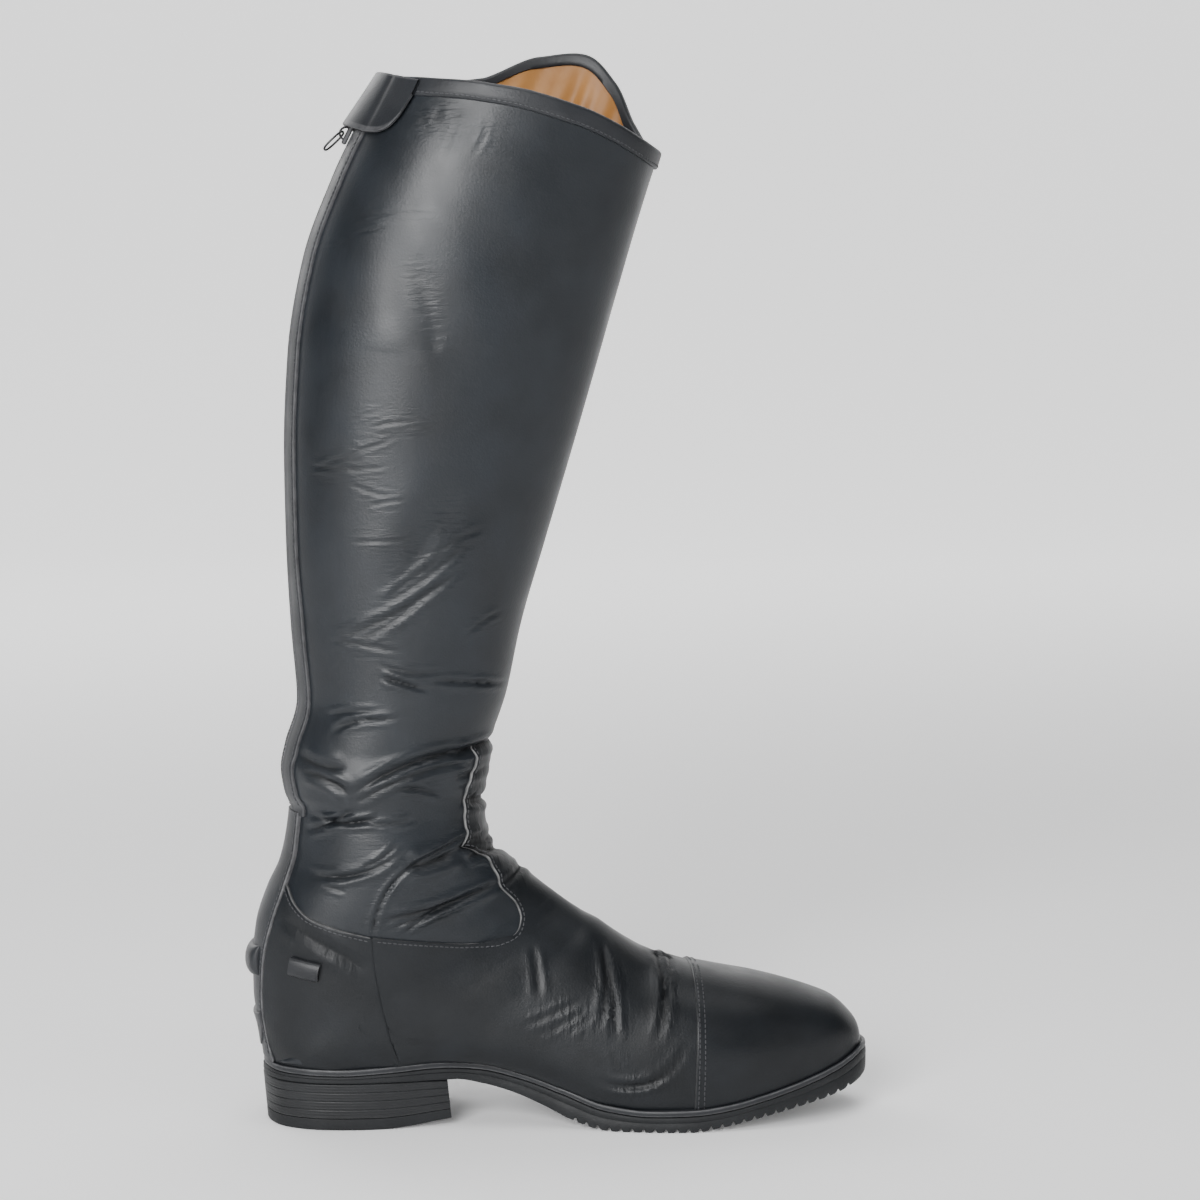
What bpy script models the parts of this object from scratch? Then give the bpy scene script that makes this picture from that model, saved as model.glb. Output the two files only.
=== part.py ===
"""Left dress riding boot with a back zip, toe cap, welted sole and stacked heel.

+X runs from heel to toe, +Y to the outer side of the left foot and +Z up. The origin is on the
floor under the heel. Tables are in millimetres, and everything that is built is in metres.
"""

import math
from collections import namedtuple

import bmesh
import bpy
import numpy as np

MM = 0.001

# Leather and clearances
WALL = 2.0
GAP = 0.3
HEEL_GAP = 0.42
OVERLAY = 1.2
COUNTER_LEATHER = 1.4
STRIP_LEATHER = 1.7
CAP_LEATHER = 2.0
BINDING_LEATHER = 1.1
BINDING_DEPTH = 8.5

# Collar
CROWN_RISE = 52.0

# Sole and heel
WELT_THICKNESS = 2.8
WELT_WIDTH_INSIDE = 6.0
INSOLE_THICKNESS = 3.0
HEEL_BREAST_TOP = 46.5
HEEL_BREAST_FOOT = 48.5
SEAT_SOLE = 4.0
HEEL_TAPER = 2.0
LIFT_COUNT = 4
TOP_PIECE_SHARE = 0.26
TOE_EASE = 0.5
RIB_PITCH = 5.2
RIB_DEPTH = 1.6
RIB_START = 104.0
RIB_COUNT = 26

# Zip at the back
ZIP_HALF = 2.6
FACING_NEAR = 3.3
FACING_FAR = 17.0
SLIDER_DROP = 30.5
BAIL_HALF, BAIL_RISE = 3.0, 2.9
PULL_WIRE = 1.1
PULL_LENGTH = 13.0
PULL_WIDTH = 7.4
PULL_TWIST = math.radians(20)
PULL_LEAN = math.radians(47)

MEDIAL, LATERAL = 1, -1

# Where the rings and columns of points lie that all leather pieces share
AROUND = np.linspace(0, 1, 12)
HEAD_RINGS = (1.45,)

Section = namedtuple(
    "Section",
    "front_x front_z edge_x edge_z edge_medial edge_lateral wide_medial wide_lateral"
    " widest front_round edge_round ridge",
)

# One row for each section of the last, from above the collar down the leg, round the heel and out
# to the toe. "front" is the point on the shin or the top of the foot, "edge" the point on the back
# seam or, from HEEL_CORNER on, on the feather edge. Widths are measured from the heel's centre
# line, "widest" is the share of the way from front to edge where the section is widest, and the
# two rounds are the powers of its outline on either side of there.
SECTIONS = [
    Section(166.5, 512.0, 43.9, 548.0, 0, 0, 50.0, 51.0, 0.50, 2.1, 2.1, 0),
    Section(149.5, 462.0, 19.4, 496.0, 0, 0, 49.0, 50.0, 0.50, 2.1, 2.1, 0),
    Section(140.6, 434.0, -3.3, 450.0, 0, 0, 48.5, 49.5, 0.50, 2.1, 2.1, 0),
    Section(129.5, 396.0, -17.3, 412.0, 0, 0, 47.5, 48.5, 0.52, 2.1, 2.1, 0),
    Section(118.7, 358.0, -24.7, 368.0, 0, 0, 46.0, 47.0, 0.53, 2.1, 2.1, 0),
    Section(106.8, 317.0, -26.8, 322.0, 0, 0, 44.0, 45.0, 0.53, 2.1, 2.1, 0),
    Section(95.2, 278.0, -26.2, 280.0, 0, 0, 42.0, 42.5, 0.53, 2.1, 2.1, 0),
    Section(84.0, 239.5, -24.3, 240.0, 0, 0, 39.5, 40.0, 0.52, 2.1, 2.0, 0),
    Section(76.8, 206.0, -21.7, 205.0, 0, 0, 37.5, 38.0, 0.52, 2.1, 2.0, 0),
    Section(68.6, 181.0, -27.5, 183.0, 0, 0, 36.5, 37.0, 0.52, 2.0, 2.0, 0),
    Section(67.2, 170.0, -29.7, 171.0, 0, 0, 38.0, 38.0, 0.52, 2.0, 2.0, 0),
    Section(64.6, 158.5, -28.1, 160.0, 0, 0, 36.5, 37.0, 0.52, 2.0, 2.0, 0),
    Section(64.9, 150.0, -25.7, 152.5, 0, 0, 36.0, 36.5, 0.52, 2.0, 1.9, 0),
    Section(66.2, 139.5, -27.3, 139.0, 0, 0, 37.0, 37.0, 0.52, 2.0, 1.9, 0),
    Section(70.4, 130.4, -30.5, 125.5, 0, 0, 37.5, 37.0, 0.52, 2.0, 1.9, 0),
    Section(75.7, 126.2, -36.7, 112.0, 0, 0, 37.0, 37.0, 0.53, 2.0, 2.0, 0),
    Section(79.8, 122.6, -42.0, 95.0, 0, 0, 36.5, 37.0, 0.53, 2.0, 2.1, 0.5),
    Section(83.8, 119.4, -43.6, 78.0, 0, 0, 35.5, 36.5, 0.54, 2.0, 2.2, 1.0),
    Section(87.8, 116.0, -43.4, 62.0, 0, 0, 34.5, 36.0, 0.55, 2.0, 2.3, 1.5),
    Section(91.8, 112.8, -41.0, 46.5, 0, 0, 34.0, 35.5, 0.56, 2.0, 2.4, 2.0),
    Section(95.8, 109.7, -38.8, 31.0, 0, 0, 33.5, 35.5, 0.57, 2.0, 2.5, 2.5),
    Section(97.8, 108.2, -37.4, 30.7, 9.0, 9.0, 33.5, 35.5, 0.58, 2.0, 2.5, 2.5),
    Section(99.8, 106.7, -32.5, 30.4, 18.5, 18.5, 33.5, 35.5, 0.59, 2.0, 2.6, 3.0),
    Section(102.3, 104.8, -21.0, 30.2, 26.5, 26.5, 33.5, 35.8, 0.60, 2.0, 2.7, 3.0),
    Section(104.9, 102.9, -5.0, 30.0, 30.3, 30.3, 33.5, 36.2, 0.61, 2.0, 2.8, 3.5),
    Section(108.9, 100.2, 18.0, 31.0, 30.2, 31.0, 33.8, 37.0, 0.62, 2.0, 2.8, 4.0),
    Section(113.9, 97.0, 42.0, 32.3, 27.3, 30.5, 34.2, 38.2, 0.64, 2.0, 2.8, 4.5),
    Section(119.9, 93.9, 62.0, 30.8, 25.0, 31.5, 35.6, 39.8, 0.66, 2.0, 2.8, 5.0),
    Section(126.9, 88.8, 82.0, 26.0, 26.0, 34.5, 37.6, 41.8, 0.68, 2.0, 2.8, 5.0),
    Section(134.9, 83.5, 100.0, 20.0, 30.5, 38.5, 40.2, 44.0, 0.70, 2.0, 2.8, 5.0),
    Section(144.4, 78.2, 121.0, 13.0, 38.0, 43.0, 42.8, 46.2, 0.71, 2.0, 2.8, 5.0),
    Section(154.0, 74.8, 142.0, 10.8, 42.8, 46.5, 44.6, 48.0, 0.71, 2.1, 2.8, 5.0),
    Section(165.0, 71.0, 163.0, 11.2, 44.6, 47.8, 45.2, 48.5, 0.70, 2.2, 2.8, 5.0),
    Section(182.0, 67.0, 181.0, 13.2, 43.0, 45.8, 43.6, 46.4, 0.69, 2.3, 2.8, 4.5),
    Section(199.0, 63.4, 199.5, 17.2, 39.6, 41.4, 40.0, 41.8, 0.68, 2.4, 2.8, 4.0),
    Section(213.5, 59.8, 215.0, 21.2, 35.0, 33.6, 35.4, 34.0, 0.67, 2.4, 2.8, 4.0),
    Section(225.5, 56.2, 227.0, 24.8, 30.0, 26.0, 30.4, 26.4, 0.66, 2.4, 2.8, 4.0),
    Section(234.6, 52.6, 236.5, 28.0, 24.2, 18.4, 24.6, 18.8, 0.65, 2.4, 2.8, 4.0),
    Section(241.2, 47.2, 243.0, 30.8, 18.2, 11.2, 18.6, 11.6, 0.64, 2.3, 2.8, 4.0),
    Section(245.6, 41.5, 246.4, 32.6, 12.0, 4.4, 12.4, 4.8, 0.63, 2.2, 2.8, 4.0),
    Section(247.4, 36.5, 248.0, 33.6, 4.0, -4.0, 4.0, -4.0, 0.60, 2.0, 2.8, 4.0),
]
CALF, ZIP_END, ANKLE_FOLD = 2.0, 11.95, 12.0
HEEL_CORNER, CAP_SEAM, TOE_TIP = 20.0, 32.0, 40.0
CAP_LIMIT = 256.0
TONGUE_TOP = 8.6
COUNTER_TOP_ROW, COUNTER_FOOT_ROW, COUNTER_FOOT = 13.2, 26.0, 23.4
STRIP_TOP_ROW, STRIP_FOOT_ROW = 11.5, 24.0
CAP_OUTLINE_TOP, CAP_OUTLINE_BACK = 120.0, 140.0
RING_CLEAR = 0.12
BEHIND = -70.0
SEAM_CLEAR = 0.015
STEEPEST_FOOT_NORMAL, FOOT_NORMAL_START = -0.35, 1.5

# How far the collar rises above the straight cut from shin to back seam, by the share of the way
# round from the shin. The outer side is cut higher, as on a dress boot.
CollarCut = namedtuple("CollarCut", "around medial lateral")
COLLAR = [
    CollarCut(0.00, 0.0, 0.0),
    CollarCut(0.10, 0.6, 3.0),
    CollarCut(0.20, 3.0, 13.5),
    CollarCut(0.30, 6.6, 29.5),
    CollarCut(0.40, 9.2, 38.0),
    CollarCut(0.50, 9.8, 31.5),
    CollarCut(0.60, 8.0, 15.5),
    CollarCut(0.75, 3.8, 5.0),
    CollarCut(0.90, 1.0, 1.2),
    CollarCut(1.00, 0.0, 0.0),
]

# The underside of the outsole and heel along the boot. "margin" is how far the sole stands out
# past the upper.
SoleLine = namedtuple("SoleLine", "x under margin")
SOLE = [
    SoleLine(-42.0, 23.2, 2.4),
    SoleLine(0.0, 23.2, 2.2),
    SoleLine(30.0, 23.2, 2.2),
    SoleLine(50.0, 23.2, 2.2),
    SoleLine(64.0, 20.6, 2.8),
    SoleLine(78.0, 16.4, 3.4),
    SoleLine(92.0, 10.6, 4.0),
    SoleLine(106.0, 4.2, 4.5),
    SoleLine(117.0, 1.0, 4.7),
    SoleLine(126.0, 0.0, 4.8),
    SoleLine(160.0, 0.0, 4.8),
    SoleLine(175.0, 1.8, 4.8),
    SoleLine(195.0, 5.4, 4.8),
    SoleLine(215.0, 9.2, 4.8),
    SoleLine(236.0, 13.3, 4.8),
    SoleLine(254.0, 19.4, 4.8),
]

# The heel's foot: flat at the back, and worn up towards the breast.
HeelLine = namedtuple("HeelLine", "x floor")
HEEL_FLOOR = [HeelLine(-42.0, 0.0), HeelLine(18.0, 0.0), HeelLine(30.0, 1.2), HeelLine(49.0, 4.0)]

# Seams as they show from the side, as x and z.
SidePoint = namedtuple("SidePoint", "x z")
THROAT_SEAM = [
    SidePoint(59.6, 183.0),
    SidePoint(60.0, 174.1),
    SidePoint(55.8, 163.0),
    SidePoint(54.6, 150.0),
    SidePoint(55.4, 141.0),
    SidePoint(54.6, 135.6),
    SidePoint(59.6, 132.4),
    SidePoint(65.6, 127.4),
    SidePoint(70.0, 121.0),
    SidePoint(72.6, 114.2),
    SidePoint(79.4, 106.6),
    SidePoint(81.8, 99.0),
    SidePoint(79.6, 93.2),
    SidePoint(73.0, 90.0),
    SidePoint(58.0, 89.6),
    SidePoint(40.0, 91.2),
    SidePoint(11.0, 94.8),
]
COUNTER_TOP = [
    SidePoint(10.6, 94.6),
    SidePoint(-9.0, 99.9),
    SidePoint(-20.0, 104.4),
    SidePoint(-25.0, 109.5),
]
STRIP_EDGE = [
    SidePoint(-21.8, 151.0),
    SidePoint(-22.8, 142.0),
    SidePoint(-24.4, 130.0),
    SidePoint(-28.6, 117.0),
    SidePoint(-34.6, 100.0),
    SidePoint(-38.4, 85.0),
    SidePoint(-39.8, 70.0),
    SidePoint(-39.6, 55.0),
    SidePoint(-38.0, 44.0),
    SidePoint(-34.6, 30.0),
]
COUNTER_SEAM = [
    SidePoint(11.7, 83.5),
    SidePoint(13.6, 71.0),
    SidePoint(16.8, 56.0),
    SidePoint(20.0, 43.5),
    SidePoint(23.6, 33.0),
]
FLAP_EDGE = [
    SidePoint(32.0, 493.6),
    SidePoint(31.6, 489.5),
    SidePoint(28.6, 481.8),
    SidePoint(24.4, 475.2),
    SidePoint(18.4, 471.4),
    SidePoint(11.0, 471.8),
    SidePoint(-6.0, 477.6),
]

SPUR_REST_EDGE, SHIELD_EDGE, SHIELD_LIP, SHIELD_TAPER = 0.7, 0.7, 0.9, 0.86
KEEPER_LEATHER, KEEPER_SAG = 1.1, 0.54
FLAP_HEAD, FLAP_END, FLAP_FRONT, FLAP_OUTER_FRONT = 0.96, 1.62, 0.70, 0.76
FLAP_REST, FLAP_STAND, FLAP_KICK, FLAP_KICK_LENGTH = 2.2, 0.6, 3.4, 0.5
FLAP_BACK_SPREAD, FLAP_LEATHER = 0.20, 1.5
ZIP_THICKNESS, SLIDER_SEAT, BAIL_SEAT, PULL_SQUARENESS = 1.5, 1.2, 1.0, 0.75
SLIDER_WIDTH, SLIDER_LENGTH, SLIDER_HEIGHT = 8.0, 10.0, 2.4
INSOLE_CLEAR, WELT_INSET = 0.3, 0.4
SPUR_REST_Z, SPUR_REST_HALF, SPUR_REST_RISE, SPUR_REST_REACH = 78.5, 7.2, 2.8, 13.0
SHIELD_TOP, SHIELD_FOOT, SHIELD_HALF = 53.5, 37.0, 13.0
KEEPER_X, KEEPER_Z, KEEPER_LENGTH, KEEPER_WIDTH, KEEPER_RISE = -20.5, 79.0, 15.0, 9.0, 3.0
KEEPER_TILT = math.radians(-9)

LEATHER = ("boot_leather", (0.012, 0.013, 0.015), 0.38, 0.0)
TRIM = ("trim_leather", (0.016, 0.017, 0.018), 0.45, 0.0)
RUBBER = ("sole_rubber", (0.022, 0.024, 0.026), 0.6, 0.0)
STACK = ("heel_stack", (0.028, 0.030, 0.033), 0.55, 0.0)
LINING = ("lining_leather", (0.50, 0.27, 0.11), 0.6, 0.0)
METAL = ("black_metal", (0.03, 0.03, 0.032), 0.35, 0.8)
COIL = ("zip_coil", (0.01, 0.01, 0.011), 0.5, 0.0)


def smooth_columns(rows, at):
    """Monotone cubic through each column of rows, read at the row numbers in at."""
    rows = np.asarray(rows, float)
    at = np.clip(np.asarray(at, float), 0, len(rows) - 1)
    step = np.diff(rows, axis=0)
    before, after = step[:-1], step[1:]
    same = before * after > 0
    slope = np.zeros_like(rows)
    slope[0], slope[-1] = step[0], step[-1]
    slope[1:-1] = np.where(same, 2 * before * after / np.where(same, before + after, 1), 0)
    low = np.minimum(at.astype(int), len(rows) - 2)
    f = (at - low)[..., None]
    a, b, u, v = rows[low], rows[low + 1], slope[low], slope[low + 1]
    return a + f * (u + f * (3 * (b - a) - 2 * u - v + f * (u + v - 2 * (b - a))))


def last(down, around):
    """The boot's outer face in mm. down is a row number of SECTIONS, and around runs from 0 at the
    shin to 1 at the back seam or feather edge on the medial side, and to -1 on the lateral side."""
    down, around = np.broadcast_arrays(np.asarray(down, float), np.asarray(around, float))
    s = Section(*np.moveaxis(smooth_columns(SECTIONS, down), -1, 0))
    side = np.where(around < 0, LATERAL, MEDIAL)
    edge = np.where(side == MEDIAL, s.edge_medial, s.edge_lateral)
    wide = np.where(side == MEDIAL, s.wide_medial, s.wide_lateral)
    angle = np.clip(np.abs(around), 0, 1) * math.pi
    in_front = angle <= math.pi / 2
    power = 2 / np.where(in_front, s.front_round, s.edge_round)
    reach = np.abs(np.cos(angle)) ** power
    swell = np.clip(np.sin(angle), 0, 1) ** power
    along = np.where(in_front, s.widest * (1 - reach), s.widest + (1 - s.widest) * reach)
    half = np.where(in_front, side * s.ridge + (wide - side * s.ridge) * swell, edge + (wide - edge) * swell)
    x = s.front_x + (s.edge_x - s.front_x) * along
    z = s.front_z + (s.edge_z - s.front_z) * along
    return np.stack([x, -side * half, z], axis=-1)


def slopes_normal(down, around):
    """Unit normals of the last, from its slopes down and around."""
    small = 0.01
    down = np.clip(down, small, TOE_TIP - 0.15)
    around = np.clip(around, -1 + small, 1 - small)
    d_down = last(down + small, around) - last(down - small, around)
    d_around = last(down, around + small) - last(down, around - small)
    normal = np.cross(d_around, d_down)
    normal /= np.maximum(np.linalg.norm(normal, axis=-1, keepdims=True), 1e-9)
    steepest = np.where(down > HEEL_CORNER - FOOT_NORMAL_START, STEEPEST_FOOT_NORMAL, -1.0)
    normal[..., 2] = np.maximum(normal[..., 2], steepest)
    return normal / np.maximum(np.linalg.norm(normal, axis=-1, keepdims=True), 1e-9)


def outward(down, around):
    """Unit normals of the last, the same on both sides where the two sides meet."""
    down, around = np.broadcast_arrays(np.asarray(down, float), np.asarray(around, float))
    normal = slopes_normal(down, around)
    meet = ((np.abs(around) == 1) & (down <= HEEL_CORNER)) | (down == TOE_TIP)
    normal = normal + np.where(meet[..., None], slopes_normal(down, -around), 0)
    return normal / np.maximum(np.linalg.norm(normal, axis=-1, keepdims=True), 1e-9)


def form(down, around, offset):
    """A point of the last moved out by offset mm."""
    down, around = np.broadcast_arrays(np.asarray(down, float), np.asarray(around, float))
    return last(down, around) + outward(down, around) * np.asarray(offset)[..., None]


def collar_line(around):
    """Row number of the collar's cut at each place around."""
    table = np.array(COLLAR, float)
    share = np.abs(around)
    places = np.interp(share, table[:, 0], np.arange(len(table)))
    lift = smooth_columns(table, places)
    return 1 - np.where(np.asarray(around) < 0, lift[..., 2], lift[..., 1]) / CROWN_RISE


def rows_per_mm(down, around):
    """How many rows one mm along the leg or foot is worth."""
    small = 0.05
    span = np.linalg.norm(last(down + small, around) - last(down - small, around), axis=-1)
    return 2 * small / np.maximum(span, 1e-6)


def from_back(down, distance):
    """The place around that lies distance mm from the back seam."""
    near = 0.06
    span = np.linalg.norm(last(down, 1.0 - near) - last(down, 1.0), axis=-1)
    return 1 - near * distance / span


def feather(down, margin):
    """Plan of the feather edge moved out by margin mm, as medial and lateral x and y."""
    small = 0.01
    sides = []
    for side in (MEDIAL, LATERAL):
        near = np.clip(down, HEEL_CORNER + small, TOE_TIP - small)
        here = last(down, side * np.ones_like(down))[..., :2]
        ahead = last(near + small, side * np.ones_like(down))[..., :2]
        behind = last(near - small, side * np.ones_like(down))[..., :2]
        run = (ahead - behind) / np.linalg.norm(ahead - behind, axis=-1, keepdims=True)
        out = np.stack([run[..., 1], -run[..., 0]], axis=-1) * side
        end = (down <= HEEL_CORNER) | (down >= TOE_TIP)
        straight = np.stack([np.where(down <= HEEL_CORNER, -1.0, 1.0), np.zeros_like(down)], axis=-1)
        out = np.where(end[..., None], straight, out)
        sides.append(here + out * np.asarray(margin)[..., None])
    return sides


def feather_height(x):
    """Height of the feather edge at x, straight from one ring to the next as the upper is."""
    rows = np.array([(s.edge_x, s.edge_z) for s in SECTIONS[int(HEEL_CORNER):]])
    return np.interp(x, rows[:, 0], rows[:, 1])


def feather_line(start, end):
    """Side view of the feather edge from one x to another, with a point at each ring."""
    x = np.array([s.edge_x for s in SECTIONS[int(HEEL_CORNER):]])
    low, high = min(start, end), max(start, end)
    x = np.concatenate([[low], x[(x > low) & (x < high)], [high]])
    x = x if start < end else x[::-1]
    return [SidePoint(*p) for p in np.column_stack([x, feather_height(x)])]


def sole_line(x):
    """Underside and margin of the sole at x."""
    rows = np.array(SOLE)
    found = smooth_columns(rows, np.interp(x, rows[:, 0], np.arange(len(rows))))
    return found[..., 1], found[..., 2]


def heel_floor(x):
    """Height of the heel's foot at x."""
    rows = np.array(HEEL_FLOOR)
    return np.interp(x, rows[:, 0], rows[:, 1])


def material(finish):
    """The material of a finish, made once."""
    name, colour, roughness, metallic = finish
    made = bpy.data.materials.get(name)
    if made is None:
        made = bpy.data.materials.new(name)
        made.use_nodes = True
        shader = made.node_tree.nodes["Principled BSDF"]
        shader.inputs["Base Color"].default_value = (*colour, 1.0)
        shader.inputs["Roughness"].default_value = roughness
        shader.inputs["Metallic"].default_value = metallic
    return made


def add_object(name, mesh, finish, collection="boot"):
    """Links a mesh as an object of the boot, smooth but for its sharp edges."""
    mesh.materials.append(material(finish))
    mesh.shade_smooth()
    mesh.set_sharp_from_angle(angle=math.radians(40))
    made = bpy.data.objects.new(name, mesh)
    bpy.data.collections[collection].objects.link(made)
    return made


def grid_faces(rows, columns, loop_rows=False, loop_columns=False, start=0):
    """Quads of a grid of points, which may close on itself either way."""
    row = np.arange(rows if loop_rows else rows - 1)[:, None]
    column = np.arange(columns if loop_columns else columns - 1)[None, :]
    next_row, next_column = (row + 1) % rows, (column + 1) % columns
    corners = (row, column), (row, next_column), (next_row, next_column), (next_row, column)
    return [start + (r * columns + c).ravel() for r, c in corners]


def halves(quads):
    """Quads cut in two along the same diagonal, so that offset leather keeps its gap."""
    return np.concatenate([quads[:, [0, 1, 2]], quads[:, [0, 2, 3]]])


def mesh_from(name, points, faces, recalculate=True):
    """Mesh of points in mm and faces, with doubles merged."""
    mesh = bpy.data.meshes.new(name)
    mesh.from_pydata((np.asarray(points) * MM).tolist(), [], faces.tolist())
    work = bmesh.new()
    work.from_mesh(mesh)
    bmesh.ops.remove_doubles(work, verts=work.verts, dist=0.002 * MM)
    bmesh.ops.dissolve_degenerate(work, edges=work.edges, dist=0.001 * MM)
    if recalculate:
        bmesh.ops.recalc_face_normals(work, faces=work.faces)
    work.to_mesh(mesh)
    work.free()
    return mesh


def shell(name, points, thickness, finish):
    """An open surface given a thickness in mm, outwards when it is positive."""
    faces = halves(np.stack(grid_faces(*points.shape[:2]), axis=1))
    made = add_object(name, mesh_from(name, points.reshape(-1, 3), faces, recalculate=False), finish)
    wall = made.modifiers.new("wall", "SOLIDIFY")
    wall.thickness = abs(thickness) * MM
    wall.offset = math.copysign(1, thickness)
    return made


def block(name, top, bottom, finish, loop=False):
    """Solid between two grids of points that match."""
    rows, columns = top.shape[:2]
    points = np.concatenate([top.reshape(-1, 3), bottom.reshape(-1, 3)])
    under = rows * columns
    faces = [np.stack(grid_faces(rows, columns, loop_rows=loop), axis=1)]
    faces.append(np.stack(grid_faces(rows, columns, loop_rows=loop, start=under), axis=1)[:, ::-1])
    index = np.arange(under).reshape(rows, columns)
    rims = [index[:, 0], index[:, -1]] if loop else [
        np.concatenate([index[0, :], index[1:, -1], index[-1, -2::-1], index[-2:0:-1, 0]])
    ]
    for rim in rims:
        ahead = np.roll(rim, -1)
        faces.append(np.stack([rim, ahead, ahead + under, rim + under], axis=1))
    return add_object(name, mesh_from(name, points, np.concatenate(faces)), finish)


def prism(name, outline, depth=80.0):
    """Cutter that runs straight through the boot from side to side, from a side view outline."""
    work = bmesh.new()
    corners = [work.verts.new((p[0] * MM, -depth * MM, p[1] * MM)) for p in outline]
    face = work.faces.new(corners)
    grown = bmesh.ops.extrude_face_region(work, geom=[face])
    moved = [v for v in grown["geom"] if isinstance(v, bmesh.types.BMVert)]
    bmesh.ops.translate(work, verts=moved, vec=(0, 2 * depth * MM, 0))
    bmesh.ops.recalc_face_normals(work, faces=work.faces)
    mesh = bpy.data.meshes.new(name)
    work.to_mesh(mesh)
    work.free()
    made = bpy.data.objects.new(name, mesh)
    bpy.data.collections["cutters"].objects.link(made)
    made.hide_render = True
    made.display_type = "WIRE"
    return made


def cut(target, cutter, operation="INTERSECT"):
    """Live Boolean of a cutter on a target."""
    made = target.modifiers.new(operation.lower(), "BOOLEAN")
    made.operation = operation
    made.object = cutter


def both_sides(half):
    """Places around from the lateral edge over the shin to the medial edge."""
    return np.concatenate([-half[::-1], half[1:]])


def rings(top, foot):
    """Row numbers from top to foot at which every leather piece has its rings of points."""
    every = np.concatenate([HEAD_RINGS, np.arange(CALF, TOE_TIP + 0.5, 1)])
    return np.concatenate([[top], every[(every > top + RING_CLEAR) & (every < foot - RING_CLEAR)], [foot]])


def make_upper():
    """The hollow upper, open at the collar and underneath."""
    around = both_sides(AROUND)
    start = collar_line(around)
    head = [start + (CALF - start) * (ring - 1) for ring in (1, *HEAD_RINGS)]
    down = np.concatenate([head, np.repeat(rings(CALF, TOE_TIP)[:, None], len(around), axis=1)])
    place = np.repeat(around[None, :], len(down), axis=0)
    shell("upper", last(down, place), -WALL, LEATHER)


def make_vamp():
    """Front overlay of the foot with its tongue up the ankle, up to the toe cap."""
    around = both_sides(AROUND)
    down = rings(TONGUE_TOP, CAP_SEAM - SEAM_CLEAR)
    vamp = shell("vamp", form(down[:, None], around[None, :], GAP), OVERLAY, LEATHER)
    front = [SidePoint(CAP_LIMIT, SECTIONS[-1].edge_z), SidePoint(CAP_LIMIT, THROAT_SEAM[0].z)]
    foot = feather_line(COUNTER_FOOT + 2 * GAP, CAP_LIMIT)
    cut(vamp, prism("vamp_outline", THROAT_SEAM + COUNTER_SEAM + foot + front))


def make_toe_cap():
    """Toe cap, thicker than the vamp, so that its edge is a step."""
    around = both_sides(AROUND)
    down = rings(CAP_SEAM + SEAM_CLEAR, TOE_TIP)
    cap = shell("toe_cap", form(down[:, None], around[None, :], GAP), CAP_LEATHER, LEATHER)
    front = [SidePoint(CAP_LIMIT, CAP_OUTLINE_TOP), SidePoint(CAP_OUTLINE_BACK, CAP_OUTLINE_TOP)]
    cut(cap, prism("toe_cap_outline", feather_line(CAP_OUTLINE_BACK, CAP_LIMIT) + front))


def make_heel_leather():
    """Rear overlays of the foot, one on each side, and the strip down the back between them."""
    edge_foot = STRIP_EDGE[-1].x
    outline = COUNTER_TOP + [SidePoint(p.x + GAP, p.z) for p in STRIP_EDGE[3:-1]]
    outline += feather_line(edge_foot + GAP, COUNTER_FOOT)
    outline += [SidePoint(p.x - GAP, p.z) for p in COUNTER_SEAM[::-1]]
    cutter = prism("counter_outline", outline)
    down = rings(COUNTER_TOP_ROW, COUNTER_FOOT_ROW)
    for name, side in (("counter_medial", MEDIAL), ("counter_lateral", LATERAL)):
        around = side * AROUND[3:]
        if side == LATERAL:
            around = around[::-1]
        made = shell(name, form(down[:, None], around[None, :], HEEL_GAP), COUNTER_LEATHER, LEATHER)
        cut(made, cutter)
    behind = [SidePoint(BEHIND, STRIP_EDGE[-1].z), SidePoint(BEHIND, STRIP_EDGE[0].z)]
    around = np.concatenate([AROUND[8:], -AROUND[-1:7:-1]])
    down = rings(STRIP_TOP_ROW, STRIP_FOOT_ROW)
    strip = form(down[:, None], around[None, :], HEEL_GAP)
    half = len(around) // 2
    faces = np.concatenate([
        np.stack(grid_faces(len(down), half), axis=1),
        np.stack(grid_faces(len(down), half), axis=1) + len(down) * half,
    ])
    points = np.concatenate([strip[:, :half].reshape(-1, 3), strip[:, half:].reshape(-1, 3)])
    mesh = mesh_from("heel_strip", points, halves(faces), recalculate=False)
    made = add_object("heel_strip", mesh, TRIM)
    wall = made.modifiers.new("wall", "SOLIDIFY")
    wall.thickness = STRIP_LEATHER * MM
    wall.offset = 1
    cut(made, prism("heel_strip_outline", STRIP_EDGE[:-1] + feather_line(edge_foot, BEHIND) + behind))


def make_binding():
    """Folded strip over the collar: a U section carried round the cut edge."""
    around = np.concatenate([AROUND, -AROUND[-2:0:-1]])
    out, inside, top = GAP + BINDING_LEATHER, -WALL - GAP, -GAP
    profile = np.array([
        (BINDING_DEPTH, GAP), (BINDING_DEPTH, out), (0.0, out), (top - BINDING_LEATHER, -WALL / 2),
        (0.0, inside - BINDING_LEATHER), (BINDING_DEPTH, inside - BINDING_LEATHER),
        (BINDING_DEPTH, inside), (top, inside), (top, GAP),
    ])
    line = collar_line(around)[:, None]
    place = np.repeat(around[:, None], len(profile), axis=1)
    down = line + profile[None, :, 0] * rows_per_mm(line, around[:, None])
    points = form(down, place, np.repeat(profile[None, :, 1], len(around), axis=0))
    faces = np.stack(grid_faces(len(around), len(profile), True, True), axis=1)
    add_object("collar_binding", mesh_from("collar_binding", points.reshape(-1, 3), faces), TRIM)


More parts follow.
